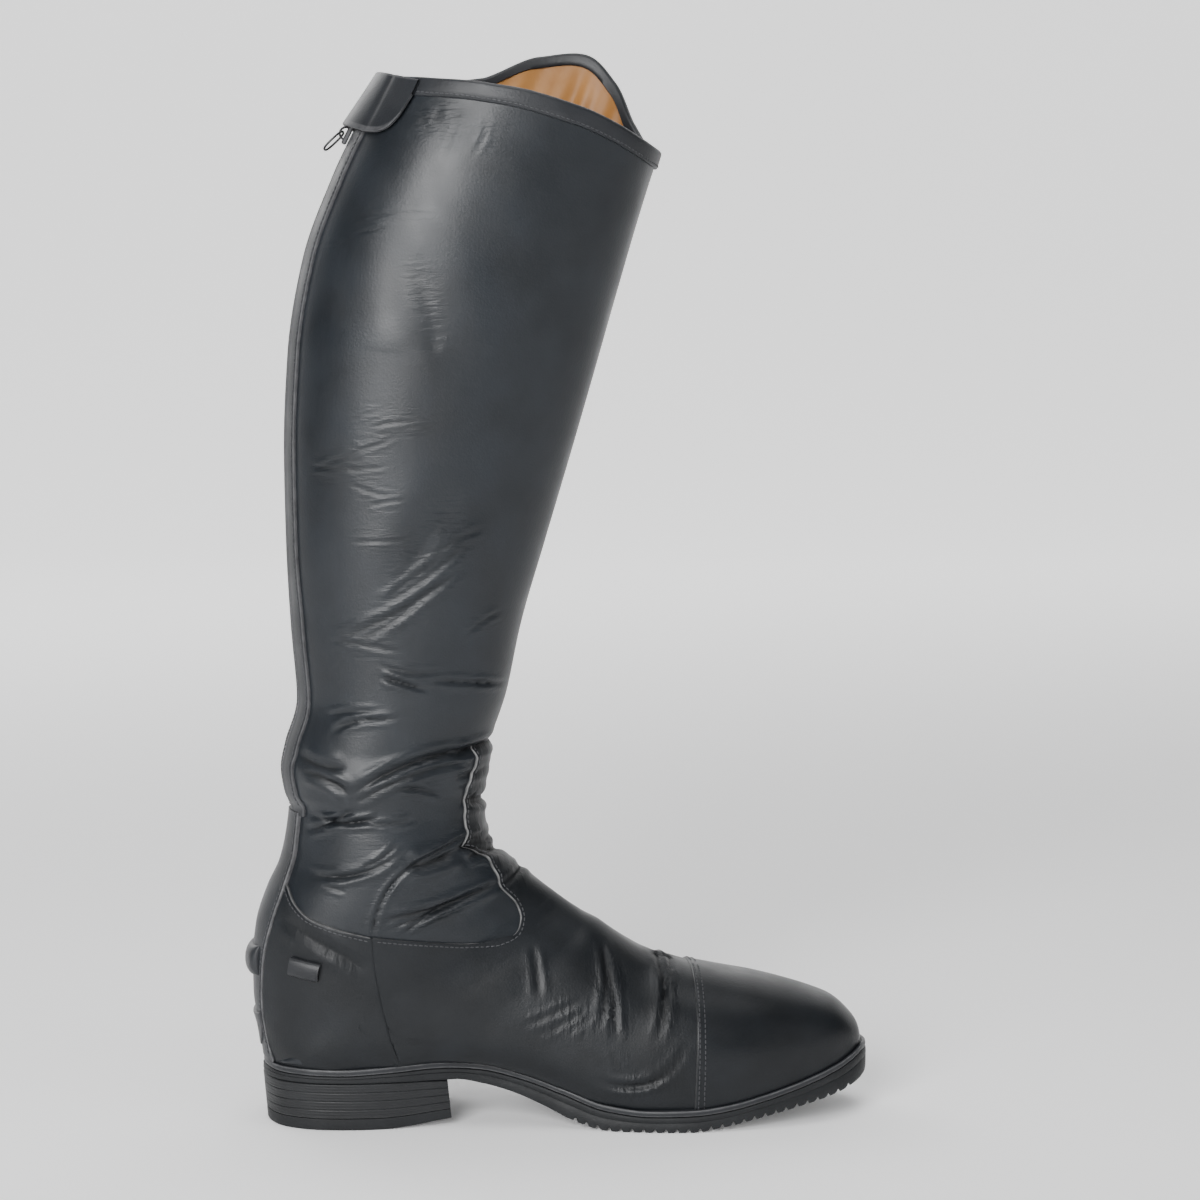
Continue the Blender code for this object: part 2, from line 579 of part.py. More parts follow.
def back_strip(name, top, foot, near, far, sink, thickness, finish, side):
    """Strip along the back seam between two distances from it, on one side."""
    down = rings(top, foot)
    shares = np.linspace(0, 1, 3)[None, :]
    around = from_back(down, far)[:, None]
    around = side * (around + (from_back(down, near)[:, None] - around) * shares)
    if side == LATERAL:
        around = around[:, ::-1]
    shell(name, form(down[:, None], around, sink), thickness, finish)


def make_zip():
    """Zip chain down the back seam with a leather facing on each side of it."""
    below_binding = 1 + (BINDING_DEPTH + GAP) * rows_per_mm(1.0, 1.0)
    down = rings(below_binding, ZIP_END)
    reach = from_back(down, ZIP_HALF)[:, None]
    share = np.array([0.0, 0.5, 1.0])[None, :]
    medial = form(down[:, None], reach + (1 - reach) * share, GAP)
    lateral = form(down[:, None], -(reach + (1 - reach) * share), GAP)
    centre = (medial[:, -1:] + lateral[:, -1:]) / 2
    chain = np.concatenate([medial[:, :-1], centre, lateral[:, -2::-1]], axis=1)
    shell("zip_chain", chain, ZIP_THICKNESS, COIL)
    for word, side in (("medial", MEDIAL), ("lateral", LATERAL)):
        back_strip(f"zip_facing_{word}", below_binding, ZIP_END, FACING_NEAR, FACING_FAR,
                   GAP, OVERLAY, TRIM, side)


def around_heel(z, distances, offset):
    """Points round the back of the heel at height z, at distances along the last from the seam."""
    rows = np.linspace(ANKLE_FOLD, HEEL_CORNER, 200)
    down = np.interp(-z, -last(rows, 1.0)[:, 2], rows)
    sides = np.where(distances < 0, LATERAL, MEDIAL)
    around = sides * from_back(down, np.abs(distances))
    return form(down, around, offset)


def make_heel_trim():
    """Spur rest, zip shield and the two spur strap keepers."""
    on_strip = HEEL_GAP + STRIP_LEATHER + GAP
    heights = SPUR_REST_Z + SPUR_REST_HALF * np.sin(np.linspace(-math.pi / 2, math.pi / 2, 7))
    across = np.linspace(-SPUR_REST_REACH, SPUR_REST_REACH, 7)
    z, s = np.meshgrid(heights, across, indexing="ij")
    dome = np.sqrt(np.clip(1 - ((z - SPUR_REST_Z) / SPUR_REST_HALF) ** 2, 0, 1))
    dome = dome * np.clip(1 - (np.abs(s) / SPUR_REST_REACH) ** 6, 0, 1)
    base = around_heel(z, s, np.full_like(z, on_strip))
    block("spur_rest", around_heel(z, s, on_strip + SPUR_REST_EDGE + SPUR_REST_RISE * dome), base, TRIM)

    drop = np.linspace(0, 1, 5)
    half = SHIELD_HALF * np.sqrt(1 - SHIELD_TAPER * drop ** 2)
    z = SHIELD_TOP + (SHIELD_FOOT - SHIELD_TOP) * np.repeat(drop[:, None], 7, axis=1)
    s = half[:, None] * np.linspace(-1, 1, 7)[None, :]
    lift = np.full_like(z, on_strip)
    leather = SHIELD_EDGE + SHIELD_LIP * (1 - drop)[:, None] ** 2
    block("zip_shield", around_heel(z, s, lift + leather), around_heel(z, s, lift), TRIM)


def locate(x, z, side):
    """Row number and place around of the last's point that shows at x and z from the side."""
    down, around = np.meshgrid(np.linspace(9, 34, 501), np.linspace(0.1, 0.95, 171), indexing="ij")
    points = last(down, side * around)
    best = np.argmin((points[..., 0] - x) ** 2 + (points[..., 2] - z) ** 2)
    return down.ravel()[best], side * around.ravel()[best]


def make_keepers():
    """Arched leather loops on the counters, open at both ends."""
    seat = HEEL_GAP + COUNTER_LEATHER + GAP
    for name, side in (("spur_keeper_medial", MEDIAL), ("spur_keeper_lateral", LATERAL)):
        down, around = locate(KEEPER_X, KEEPER_Z, side)
        middle = form(down, around, 0.0)
        out = outward(down, around)
        ahead = np.array([math.cos(KEEPER_TILT), 0, math.sin(KEEPER_TILT)])
        ahead = ahead - out * (ahead @ out)
        ahead /= np.linalg.norm(ahead)
        rise = np.cross(out, ahead) * side
        angle = np.linspace(0, math.pi, 9)
        strip = []
        for leather in (0.0, KEEPER_LEATHER):
            radius, lift = KEEPER_WIDTH / 2 - leather, KEEPER_RISE - leather
            arch = [middle + rise * radius * math.cos(a) + out * (seat + lift * math.sin(a)) for a in angle]
            run = [np.array(arch) + ahead * step for step in (-KEEPER_LENGTH / 2, 0, KEEPER_LENGTH / 2)]
            run = [run[0] - out * KEEPER_SAG, run[1], run[2] - out * KEEPER_SAG]
            strip.append(np.array(run))
        block(name, strip[0], strip[1], TRIM)


def plate(name, down, margins, top, under, finish, ends=None, columns=3):
    """Slab between two heights over the plan of the feather edge."""
    layers = []
    for margin, height in zip(margins, (top, under)):
        medial, lateral = feather(down, margin)
        share = np.linspace(0, 1, columns)[None, :, None]
        plan = medial[:, None, :] + (lateral - medial)[:, None, :] * share
        if ends is not None:
            plan[-1, :, 0] = ends[len(layers)]
        layers.append(np.concatenate([plan, height(plan[..., 0])[..., None]], axis=-1))
    return block(name, layers[0], layers[1], finish)


def make_welt():
    """Welt: a flat ring under the edge of the upper that stands out past it."""
    down = np.arange(HEEL_CORNER, TOE_TIP + 0.5, 1)
    centre = last(down, 1.0)[:, 0]
    _, margin = sole_line(centre)
    rings = []
    for spread in (-WELT_WIDTH_INSIDE, 0.0, margin - WELT_INSET):
        spread = np.broadcast_to(spread, down.shape).copy()
        medial, lateral = feather(down, spread)
        rings.append(np.concatenate([medial, lateral[-2:0:-1]]))
    plan = np.stack(rings, axis=1)
    top = feather_height(plan[..., 0]) - GAP
    layers = [np.concatenate([plan, z[..., None]], axis=-1) for z in (top, top - WELT_THICKNESS)]
    block("welt", layers[0], layers[1], TRIM, loop=True)


def make_insole():
    """Insole inside the upper, on the welt."""
    down = np.arange(HEEL_CORNER + 1, TOE_TIP - 0.5, 1)
    inset = np.full_like(down, -(WALL + GAP + INSOLE_CLEAR))
    plate("insole", down, (inset, inset), lambda x: feather_height(x) + INSOLE_THICKNESS,
          lambda x: feather_height(x), LINING)


def make_outsole():
    """Outsole from heel seat to toe, ribbed across the forefoot."""
    ribs = [RIB_START + RIB_PITCH * (n + f) for n in range(RIB_COUNT) for f in (0.0, 0.6, 0.8)]
    smooth = last(np.arange(HEEL_CORNER, TOE_TIP + 0.5, 1), 1.0)[:, 0]
    first, final = ribs[0], ribs[-1]
    heel = smooth[smooth < HEEL_BREAST_TOP]
    waist = smooth[(smooth > SOLE[3].x + 2) & (smooth < first - 2)]
    stations = np.concatenate([heel, [SOLE[3].x], waist, ribs, smooth[smooth > final + 2]])
    rows = np.linspace(HEEL_CORNER, TOE_TIP, 2001)
    down = np.interp(stations, last(rows, 1.0)[:, 0], rows)
    margin = sole_line(stations)[1]
    groove = np.zeros_like(stations)
    phase = np.mod((stations - first) / RIB_PITCH + 1e-6, 1.0)
    in_ribs = (stations >= first - 0.01) & (stations <= final + 0.01)
    groove[in_ribs & (phase > 0.7)] = RIB_DEPTH
    layers = []
    medial, lateral = feather(down, margin)
    share = np.linspace(0, 1, 3)[None, :, None]
    plan = medial[:, None, :] + (lateral - medial)[:, None, :] * share
    ease = TOE_EASE * np.clip((plan[..., 0] - 225) / 20, 0, 1)
    top = feather_height(plan[..., 0]) - WELT_THICKNESS - 2 * GAP - ease
    under = sole_line(plan[..., 0])[0] + groove[:, None]
    for z in (top, under):
        layers.append(np.concatenate([plan, z[..., None]], axis=-1))
    block("outsole", layers[0], layers[1], RUBBER)


def make_heel():
    """Stack of lifts over a rubber top piece, from the seat of the sole down to the floor."""
    rows = np.linspace(HEEL_CORNER, 28, 801)
    centres = last(rows, 1.0)[:, 0]
    breast = np.interp(HEEL_BREAST_TOP, centres, rows)
    round_back = np.arange(HEEL_CORNER, HEEL_CORNER + 2, 0.5)
    down = np.concatenate([round_back, np.arange(HEEL_CORNER + 2, breast - 0.2, 1), [breast]])
    share_tops = np.concatenate([np.linspace(0, 1 - TOP_PIECE_SHARE, LIFT_COUNT + 1), [1.0]])

    def level(share, gap):
        def height(x):
            seat = sole_line(x)[0] - GAP
            floor = heel_floor(x)
            return seat + (floor - seat) * share - gap
        return height

    for n in range(LIFT_COUNT + 1):
        high, low = share_tops[n], share_tops[n + 1]
        base = sole_line(last(down, 1.0)[:, 0])[1]
        margins = [base - HEEL_TAPER * share for share in (high, low)]
        ends = [HEEL_BREAST_TOP + (HEEL_BREAST_FOOT - HEEL_BREAST_TOP) * share for share in (high, low)]
        is_top_piece = n == LIFT_COUNT
        name = "heel_top_piece" if is_top_piece else f"heel_lift_{n + 1}"
        plate(name, down, margins, level(high, GAP if n else 0.0), level(low, 0.0),
              RUBBER if is_top_piece else STACK, ends)


def make_flap():
    """Leather tab that wraps from the outer side round the back over the zip slider."""
    spread = np.linspace(0, 1, 9)
    medial = FLAP_FRONT + (1 - FLAP_FRONT) * spread[:-1]
    around = np.concatenate([medial, -1 + (1 - FLAP_OUTER_FRONT) * spread])
    down = np.linspace(FLAP_HEAD, FLAP_END, 5)
    mid_down, mid_around = np.meshgrid(down, around, indexing="ij")
    turn = np.where(mid_around < 0, 2 + mid_around, mid_around)
    behind = np.clip(1 - (np.abs(turn - 1) / FLAP_BACK_SPREAD) ** 2, 0, 1) ** 2
    drop = (mid_down - FLAP_HEAD) / FLAP_KICK_LENGTH
    lift = FLAP_REST + behind * (FLAP_STAND + FLAP_KICK * drop)
    points = form(mid_down, mid_around, lift)
    flap = shell("zip_flap", points, FLAP_LEATHER, TRIM)
    outline = FLAP_EDGE + [SidePoint(-40.0, 480.0), SidePoint(-40.0, 497.2), SidePoint(20.0, 497.2)]
    cut(flap, prism("flap_outline", outline))


def back_frame(drop):
    """A point on the zip drop mm below the collar with its down and outward directions."""
    down = 1 + drop * rows_per_mm(1.0, 1.0)
    here = (last(down, 0.999) + last(down, -0.999)) / 2
    ahead = (last(down + 0.1, 0.999) + last(down + 0.1, -0.999)) / 2 - here
    along = ahead / np.linalg.norm(ahead)
    return here, along, np.array([-along[2], 0.0, along[0]]) * -1


def tube(name, points, radius, finish, closed=False):
    """Round wire through points in mm, as a mesh."""
    curve = bpy.data.curves.new(name, "CURVE")
    curve.dimensions = "3D"
    curve.bevel_depth = radius * MM
    curve.bevel_resolution = 0
    curve.use_fill_caps = not closed
    spline = curve.splines.new("POLY")
    spline.points.add(len(points) - 1)
    spline.points.foreach_set("co", np.column_stack([points * MM, np.ones(len(points))]).ravel())
    spline.use_cyclic_u = closed
    guide = bpy.data.objects.new(name + "_path", curve)
    bpy.data.collections["cutters"].objects.link(guide)
    mesh = bpy.data.meshes.new_from_object(guide.evaluated_get(bpy.context.evaluated_depsgraph_get()))
    work = bmesh.new()
    work.from_mesh(mesh)
    bmesh.ops.remove_doubles(work, verts=work.verts, dist=0.002 * MM)
    work.to_mesh(mesh)
    work.free()
    bpy.data.objects.remove(guide)
    mesh.name = name
    mesh.materials.clear()
    return add_object(name, mesh, finish)


def oriented_box(name, middle, axes, sizes, finish, collection="boot"):
    """Box with its sides along three unit directions, edges bevelled."""
    work = bmesh.new()
    bmesh.ops.create_cube(work, size=1.0)
    for vertex in work.verts:
        local = np.array(vertex.co) * np.array(sizes)
        vertex.co = (middle + sum(axis * part for axis, part in zip(axes, local))) * MM
    bmesh.ops.recalc_face_normals(work, faces=work.faces)
    mesh = bpy.data.meshes.new(name)
    work.to_mesh(mesh)
    work.free()
    made = add_object(name, mesh, finish, collection)
    bevel = made.modifiers.new("bevel", "BEVEL")
    bevel.width = 0.6 * MM
    bevel.segments = 1
    return made


def make_slider_and_pull():
    """Zip slider with its bail, and the wire pull that hangs through the bail."""
    here, along, out = back_frame(SLIDER_DROP)
    across = np.array([0.0, 1.0, 0.0])
    body_middle = here + out * (2 * GAP + ZIP_THICKNESS + SLIDER_SEAT)
    slider = oriented_box("zip_slider", body_middle, (across, along, out),
                          (SLIDER_WIDTH, SLIDER_LENGTH, SLIDER_HEIGHT), METAL)
    arch = np.linspace(-0.12, 1.12, 11) * math.pi
    top = body_middle + out * BAIL_SEAT
    bail_points = np.array([
        top - along * BAIL_HALF * math.cos(a) + out * BAIL_RISE * math.sin(a) for a in arch
    ])
    bail = tube("zip_bail", bail_points, PULL_WIRE / 2, METAL)
    bpy.data.collections["boot"].objects.unlink(bail)
    bpy.data.collections["cutters"].objects.link(bail)
    bail.hide_render = True
    bail.display_type = "WIRE"
    cut(slider, bail, "UNION")
    pivot = top + out * (BAIL_RISE - GAP - PULL_WIRE)
    reach = np.array([-math.sin(PULL_LEAN), 0.0, -math.cos(PULL_LEAN)])
    flat = np.cross(reach, across)
    wide = across * math.cos(PULL_TWIST) + flat * math.sin(PULL_TWIST)
    turn = np.linspace(0, 2 * math.pi, 20, endpoint=False)
    length, width = PULL_LENGTH / 2 - PULL_WIRE / 2, PULL_WIDTH / 2 - PULL_WIRE / 2
    along_pull = np.sign(np.cos(turn)) * np.abs(np.cos(turn)) ** PULL_SQUARENESS
    across_pull = np.sign(np.sin(turn)) * np.abs(np.sin(turn)) ** PULL_SQUARENESS
    middle = pivot + reach * length
    points = middle - reach * length * along_pull[:, None] + wide * width * across_pull[:, None]
    tube("zip_pull", points, PULL_WIRE / 2, METAL, closed=True)
    return pivot


def main():
    """Clears the scene and builds the boot."""
    for old in list(bpy.data.objects):
        bpy.data.objects.remove(old)
    for name in ("boot", "cutters"):
        bpy.context.scene.collection.children.link(bpy.data.collections.new(name))
    make_upper()
    make_vamp()
    make_toe_cap()
    make_heel_leather()
    make_binding()
    make_zip()
    make_heel_trim()
    make_keepers()
    make_insole()
    make_welt()
    make_outsole()
    make_heel()
    make_flap()
    make_slider_and_pull()


main()
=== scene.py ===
"""Left dress riding boot in black calf leather, standing empty on a pale studio floor.

+X runs from heel to toe, +Y to the outer side of the left foot and +Z up, with the origin on the
floor under the heel. Shapes are worked out in millimetres and laid down in metres.
"""

import math
from collections import namedtuple

import bmesh
import bpy
import numpy as np
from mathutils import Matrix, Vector

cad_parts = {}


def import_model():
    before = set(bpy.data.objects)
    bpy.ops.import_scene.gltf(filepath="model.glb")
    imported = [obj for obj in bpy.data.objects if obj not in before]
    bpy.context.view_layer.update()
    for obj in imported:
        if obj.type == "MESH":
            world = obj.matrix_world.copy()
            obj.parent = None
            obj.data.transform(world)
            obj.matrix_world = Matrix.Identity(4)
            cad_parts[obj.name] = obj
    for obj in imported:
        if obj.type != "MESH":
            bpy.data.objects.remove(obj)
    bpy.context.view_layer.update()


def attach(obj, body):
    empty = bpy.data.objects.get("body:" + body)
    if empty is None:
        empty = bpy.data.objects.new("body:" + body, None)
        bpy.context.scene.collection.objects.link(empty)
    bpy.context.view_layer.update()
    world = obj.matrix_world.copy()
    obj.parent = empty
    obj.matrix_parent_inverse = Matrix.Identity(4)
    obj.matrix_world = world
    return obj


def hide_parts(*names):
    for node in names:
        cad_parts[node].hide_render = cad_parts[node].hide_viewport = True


MM = 0.001
MEDIAL, LATERAL = 1, -1

# Leather
WALL = 2.0
GAP = 0.3
OVERLAY = 1.2
TUCK = 0.4
HEEL_GAP, COUNTER_LEATHER, STRIP_LEATHER = 0.42, 1.4, 1.7
CAP_LEATHER = 2.0
BINDING_LEATHER, BINDING_DEPTH, INSIDE_DEPTH = 1.1, 8.5, 5.4
CROWN_RISE = 52.0

# Sole and heel
WELT_THICKNESS = 2.8
BREAST_TOP, BREAST_FOOT = 46.5, 48.5
HEEL_TAPER = 2.0
RIB_PITCH, RIB_DEPTH, RIB_START, RIB_COUNT, RIB_STEPS = 5.2, 1.6, 104.0, 26, 8
SOLE_BACK, SOLE_TOE = -38.79, 247.99
LIFTS, TOP_PIECE, LIFT_STEPS, LAYER_STEPS = 4, 0.26, 12, 4
LIFT_LINE, LAYER_LINE = 0.35, 0.12

# Zip and its trim
ZIP_HALF, FACING_NEAR, FACING_RIDGE, FACING_FAR = 2.6, 3.3, 6.6, 17.0
TOOTH_PITCH = 1.9
SLIDER_DROP = 30.5
SLIDER_BODY = 3.7
BAIL_RISE = 2.9
PULL_WIRE, PULL_LENGTH, PULL_WIDTH, PULL_SQUARENESS = 1.1, 13.0, 7.4, 0.75
PULL_TWIST, PULL_LEAN = math.radians(20), math.radians(47)
SPUR_REST_Z, SPUR_REST_HALF, SPUR_REST_RISE, SPUR_REST_REACH = 78.5, 7.2, 2.8, 13.0
SHIELD_TOP, SHIELD_FOOT, SHIELD_HALF, SHIELD_TAPER = 53.5, 37.0, 13.0, 0.86
KEEPER_X, KEEPER_Z, KEEPER_LENGTH, KEEPER_WIDTH, KEEPER_RISE = -20.5, 79.0, 15.0, 9.0, 3.0
KEEPER_TILT, KEEPER_LEATHER, KEEPER_SAG = math.radians(-9), 1.1, 0.54

# Stitches, and how far they lie from the edge that they hold
STITCH_PITCH, STITCH_LENGTH, STITCH_RADIUS = 2.5, 1.8, 0.32
THREAD_RISE = 0.14
EDGE_STITCH, CAP_STITCHES = 1.6, (1.6, 4.2)

# A rolled edge: how far in from the cut, in mm, and what share of the leather's thickness is there
ROLL_IN = np.array([0.0, 0.0, 0.15, 0.4, 0.8])
ROLL_UP = np.array([-1.0, 0.6, 0.86, 0.97, 1.0])

# The photograph's camera: a level distance from the middle of the boot, and a height
VIEW_DISTANCE, VIEW_HEIGHT, VIEW_TURN = 1.5, 0.42, math.radians(-5)
VIEW_TARGET = (0.100, 0.0, 0.250)
VIEW_LENS, VIEW_SENSOR, VIEW_SHIFT = 94.4, 36.0, 0.0383

Section = namedtuple(
    "Section",
    "front_x front_z edge_x edge_z edge_medial edge_lateral wide_medial wide_lateral"
    " widest front_round edge_round ridge",
)
SECTIONS = [
    Section(166.5, 512.0, 43.9, 548.0, 0, 0, 50.0, 51.0, 0.50, 2.1, 2.1, 0),
    Section(149.5, 462.0, 19.4, 496.0, 0, 0, 49.0, 50.0, 0.50, 2.1, 2.1, 0),
    Section(140.6, 434.0, -3.3, 450.0, 0, 0, 48.5, 49.5, 0.50, 2.1, 2.1, 0),
    Section(129.5, 396.0, -17.3, 412.0, 0, 0, 47.5, 48.5, 0.52, 2.1, 2.1, 0),
    Section(118.7, 358.0, -24.7, 368.0, 0, 0, 46.0, 47.0, 0.53, 2.1, 2.1, 0),
    Section(106.8, 317.0, -26.8, 322.0, 0, 0, 44.0, 45.0, 0.53, 2.1, 2.1, 0),
    Section(95.2, 278.0, -26.2, 280.0, 0, 0, 42.0, 42.5, 0.53, 2.1, 2.1, 0),
    Section(84.0, 239.5, -24.3, 240.0, 0, 0, 39.5, 40.0, 0.52, 2.1, 2.0, 0),
    Section(76.8, 206.0, -21.7, 205.0, 0, 0, 37.5, 38.0, 0.52, 2.1, 2.0, 0),
    Section(68.6, 181.0, -27.5, 183.0, 0, 0, 36.5, 37.0, 0.52, 2.0, 2.0, 0),
    Section(67.2, 170.0, -29.7, 171.0, 0, 0, 38.0, 38.0, 0.52, 2.0, 2.0, 0),
    Section(64.6, 158.5, -28.1, 160.0, 0, 0, 36.5, 37.0, 0.52, 2.0, 2.0, 0),
    Section(64.9, 150.0, -25.7, 152.5, 0, 0, 36.0, 36.5, 0.52, 2.0, 1.9, 0),
    Section(66.2, 139.5, -27.3, 139.0, 0, 0, 37.0, 37.0, 0.52, 2.0, 1.9, 0),
    Section(70.4, 130.4, -30.5, 125.5, 0, 0, 37.5, 37.0, 0.52, 2.0, 1.9, 0),
    Section(75.7, 126.2, -36.7, 112.0, 0, 0, 37.0, 37.0, 0.53, 2.0, 2.0, 0),
    Section(79.8, 122.6, -42.0, 95.0, 0, 0, 36.5, 37.0, 0.53, 2.0, 2.1, 0.5),
    Section(83.8, 119.4, -43.6, 78.0, 0, 0, 35.5, 36.5, 0.54, 2.0, 2.2, 1.0),
    Section(87.8, 116.0, -43.4, 62.0, 0, 0, 34.5, 36.0, 0.55, 2.0, 2.3, 1.5),
    Section(91.8, 112.8, -41.0, 46.5, 0, 0, 34.0, 35.5, 0.56, 2.0, 2.4, 2.0),
    Section(95.8, 109.7, -38.8, 31.0, 0, 0, 33.5, 35.5, 0.57, 2.0, 2.5, 2.5),
    Section(97.8, 108.2, -37.4, 30.7, 9.0, 9.0, 33.5, 35.5, 0.58, 2.0, 2.5, 2.5),
    Section(99.8, 106.7, -32.5, 30.4, 18.5, 18.5, 33.5, 35.5, 0.59, 2.0, 2.6, 3.0),
    Section(102.3, 104.8, -21.0, 30.2, 26.5, 26.5, 33.5, 35.8, 0.60, 2.0, 2.7, 3.0),
    Section(104.9, 102.9, -5.0, 30.0, 30.3, 30.3, 33.5, 36.2, 0.61, 2.0, 2.8, 3.5),
    Section(108.9, 100.2, 18.0, 31.0, 30.2, 31.0, 33.8, 37.0, 0.62, 2.0, 2.8, 4.0),
    Section(113.9, 97.0, 42.0, 32.3, 27.3, 30.5, 34.2, 38.2, 0.64, 2.0, 2.8, 4.5),
    Section(119.9, 93.9, 62.0, 30.8, 25.0, 31.5, 35.6, 39.8, 0.66, 2.0, 2.8, 5.0),
    Section(126.9, 88.8, 82.0, 26.0, 26.0, 34.5, 37.6, 41.8, 0.68, 2.0, 2.8, 5.0),
    Section(134.9, 83.5, 100.0, 20.0, 30.5, 38.5, 40.2, 44.0, 0.70, 2.0, 2.8, 5.0),
    Section(144.4, 78.2, 121.0, 13.0, 38.0, 43.0, 42.8, 46.2, 0.71, 2.0, 2.8, 5.0),
    Section(154.0, 74.8, 142.0, 10.8, 42.8, 46.5, 44.6, 48.0, 0.71, 2.1, 2.8, 5.0),
    Section(165.0, 71.0, 163.0, 11.2, 44.6, 47.8, 45.2, 48.5, 0.70, 2.2, 2.8, 5.0),
    Section(182.0, 67.0, 181.0, 13.2, 43.0, 45.8, 43.6, 46.4, 0.69, 2.3, 2.8, 4.5),
    Section(199.0, 63.4, 199.5, 17.2, 39.6, 41.4, 40.0, 41.8, 0.68, 2.4, 2.8, 4.0),
    Section(213.5, 59.8, 215.0, 21.2, 35.0, 33.6, 35.4, 34.0, 0.67, 2.4, 2.8, 4.0),
    Section(225.5, 56.2, 227.0, 24.8, 30.0, 26.0, 30.4, 26.4, 0.66, 2.4, 2.8, 4.0),
    Section(234.6, 52.6, 236.5, 28.0, 24.2, 18.4, 24.6, 18.8, 0.65, 2.4, 2.8, 4.0),
    Section(241.2, 47.2, 243.0, 30.8, 18.2, 11.2, 18.6, 11.6, 0.64, 2.3, 2.8, 4.0),
    Section(245.6, 41.5, 246.4, 32.6, 12.0, 4.4, 12.4, 4.8, 0.63, 2.2, 2.8, 4.0),
    Section(247.4, 36.5, 248.0, 33.6, 4.0, -4.0, 4.0, -4.0, 0.60, 2.0, 2.8, 4.0),
]
CALF, ZIP_END, ANKLE_FOLD = 2.0, 11.95, 12.0
HEEL_CORNER, CAP_SEAM, TOE_TIP = 20.0, 32.0, 40.0

CollarCut = namedtuple("CollarCut", "around medial lateral")
COLLAR = [
    CollarCut(0.00, 0.0, 0.0),
    CollarCut(0.10, 0.6, 3.0),
    CollarCut(0.20, 3.0, 13.5),
    CollarCut(0.30, 6.6, 29.5),
    CollarCut(0.40, 9.2, 38.0),
    CollarCut(0.50, 9.8, 31.5),
    CollarCut(0.60, 8.0, 15.5),
    CollarCut(0.75, 3.8, 5.0),
    CollarCut(0.90, 1.0, 1.2),
    CollarCut(1.00, 0.0, 0.0),
]

SoleLine = namedtuple("SoleLine", "x under margin")
SOLE = [
    SoleLine(-42.0, 23.2, 2.4),
    SoleLine(0.0, 23.2, 2.2),
    SoleLine(30.0, 23.2, 2.2),
    SoleLine(50.0, 23.2, 2.2),
    SoleLine(64.0, 20.6, 2.8),
    SoleLine(78.0, 16.4, 3.4),
    SoleLine(92.0, 10.6, 4.0),
    SoleLine(106.0, 4.2, 4.5),
    SoleLine(117.0, 1.0, 4.7),
    SoleLine(126.0, 0.0, 4.8),
    SoleLine(160.0, 0.0, 4.8),
    SoleLine(175.0, 1.8, 4.8),
    SoleLine(195.0, 5.4, 4.8),
    SoleLine(215.0, 9.2, 4.8),
    SoleLine(236.0, 13.3, 4.8),
    SoleLine(254.0, 19.4, 4.8),
]

HeelLine = namedtuple("HeelLine", "x floor")
HEEL_FLOOR = [HeelLine(-42.0, 0.0), HeelLine(18.0, 0.0), HeelLine(30.0, 1.2), HeelLine(49.0, 4.0)]

# Seams as they show from the side, as x and z.
SidePoint = namedtuple("SidePoint", "x z")
STRIP_SIDE = [
    SidePoint(59.6, 183.0),
    SidePoint(60.0, 174.1),
    SidePoint(55.8, 163.0),
    SidePoint(54.6, 150.0),
    SidePoint(55.4, 141.0),
    SidePoint(54.6, 135.6),
]
THROAT_SEAM = [
    SidePoint(54.6, 135.6),
    SidePoint(59.6, 132.4),
    SidePoint(65.6, 127.4),
    SidePoint(70.0, 121.0),
    SidePoint(72.6, 114.2),
    SidePoint(79.4, 106.6),
    SidePoint(81.8, 99.0),
    SidePoint(79.6, 93.2),
    SidePoint(73.0, 90.0),
    SidePoint(58.0, 89.6),
    SidePoint(40.0, 91.2),
    SidePoint(11.0, 94.8),
]
COUNTER_SEAM = [
    SidePoint(11.0, 94.8),
    SidePoint(11.7, 83.5),
    SidePoint(13.6, 71.0),
    SidePoint(16.8, 56.0),
    SidePoint(20.0, 43.5),
    SidePoint(23.6, 33.0),
]
COUNTER_TOP = [
    SidePoint(10.6, 94.6),
    SidePoint(-9.0, 99.9),
    SidePoint(-20.0, 104.4),
    SidePoint(-25.0, 109.5),
    SidePoint(-28.2, 117.0),
]
STRIP_EDGE = [
    SidePoint(-21.8, 151.0),
    SidePoint(-22.8, 142.0),
    SidePoint(-24.4, 130.0),
    SidePoint(-28.6, 117.0),
    SidePoint(-34.6, 100.0),
    SidePoint(-38.4, 85.0),
    SidePoint(-39.8, 70.0),
    SidePoint(-39.6, 55.0),
    SidePoint(-38.0, 44.0),
    SidePoint(-35.6, 33.0),
]
GUSSET_SEAM = [
    SidePoint(55.0, 140.2),
    SidePoint(48.0, 137.3),
    SidePoint(38.3, 133.0),
    SidePoint(26.4, 126.0),
    SidePoint(19.3, 119.0),
    SidePoint(15.5, 113.0),
    SidePoint(12.7, 103.0),
    SidePoint(11.0, 95.6),
]

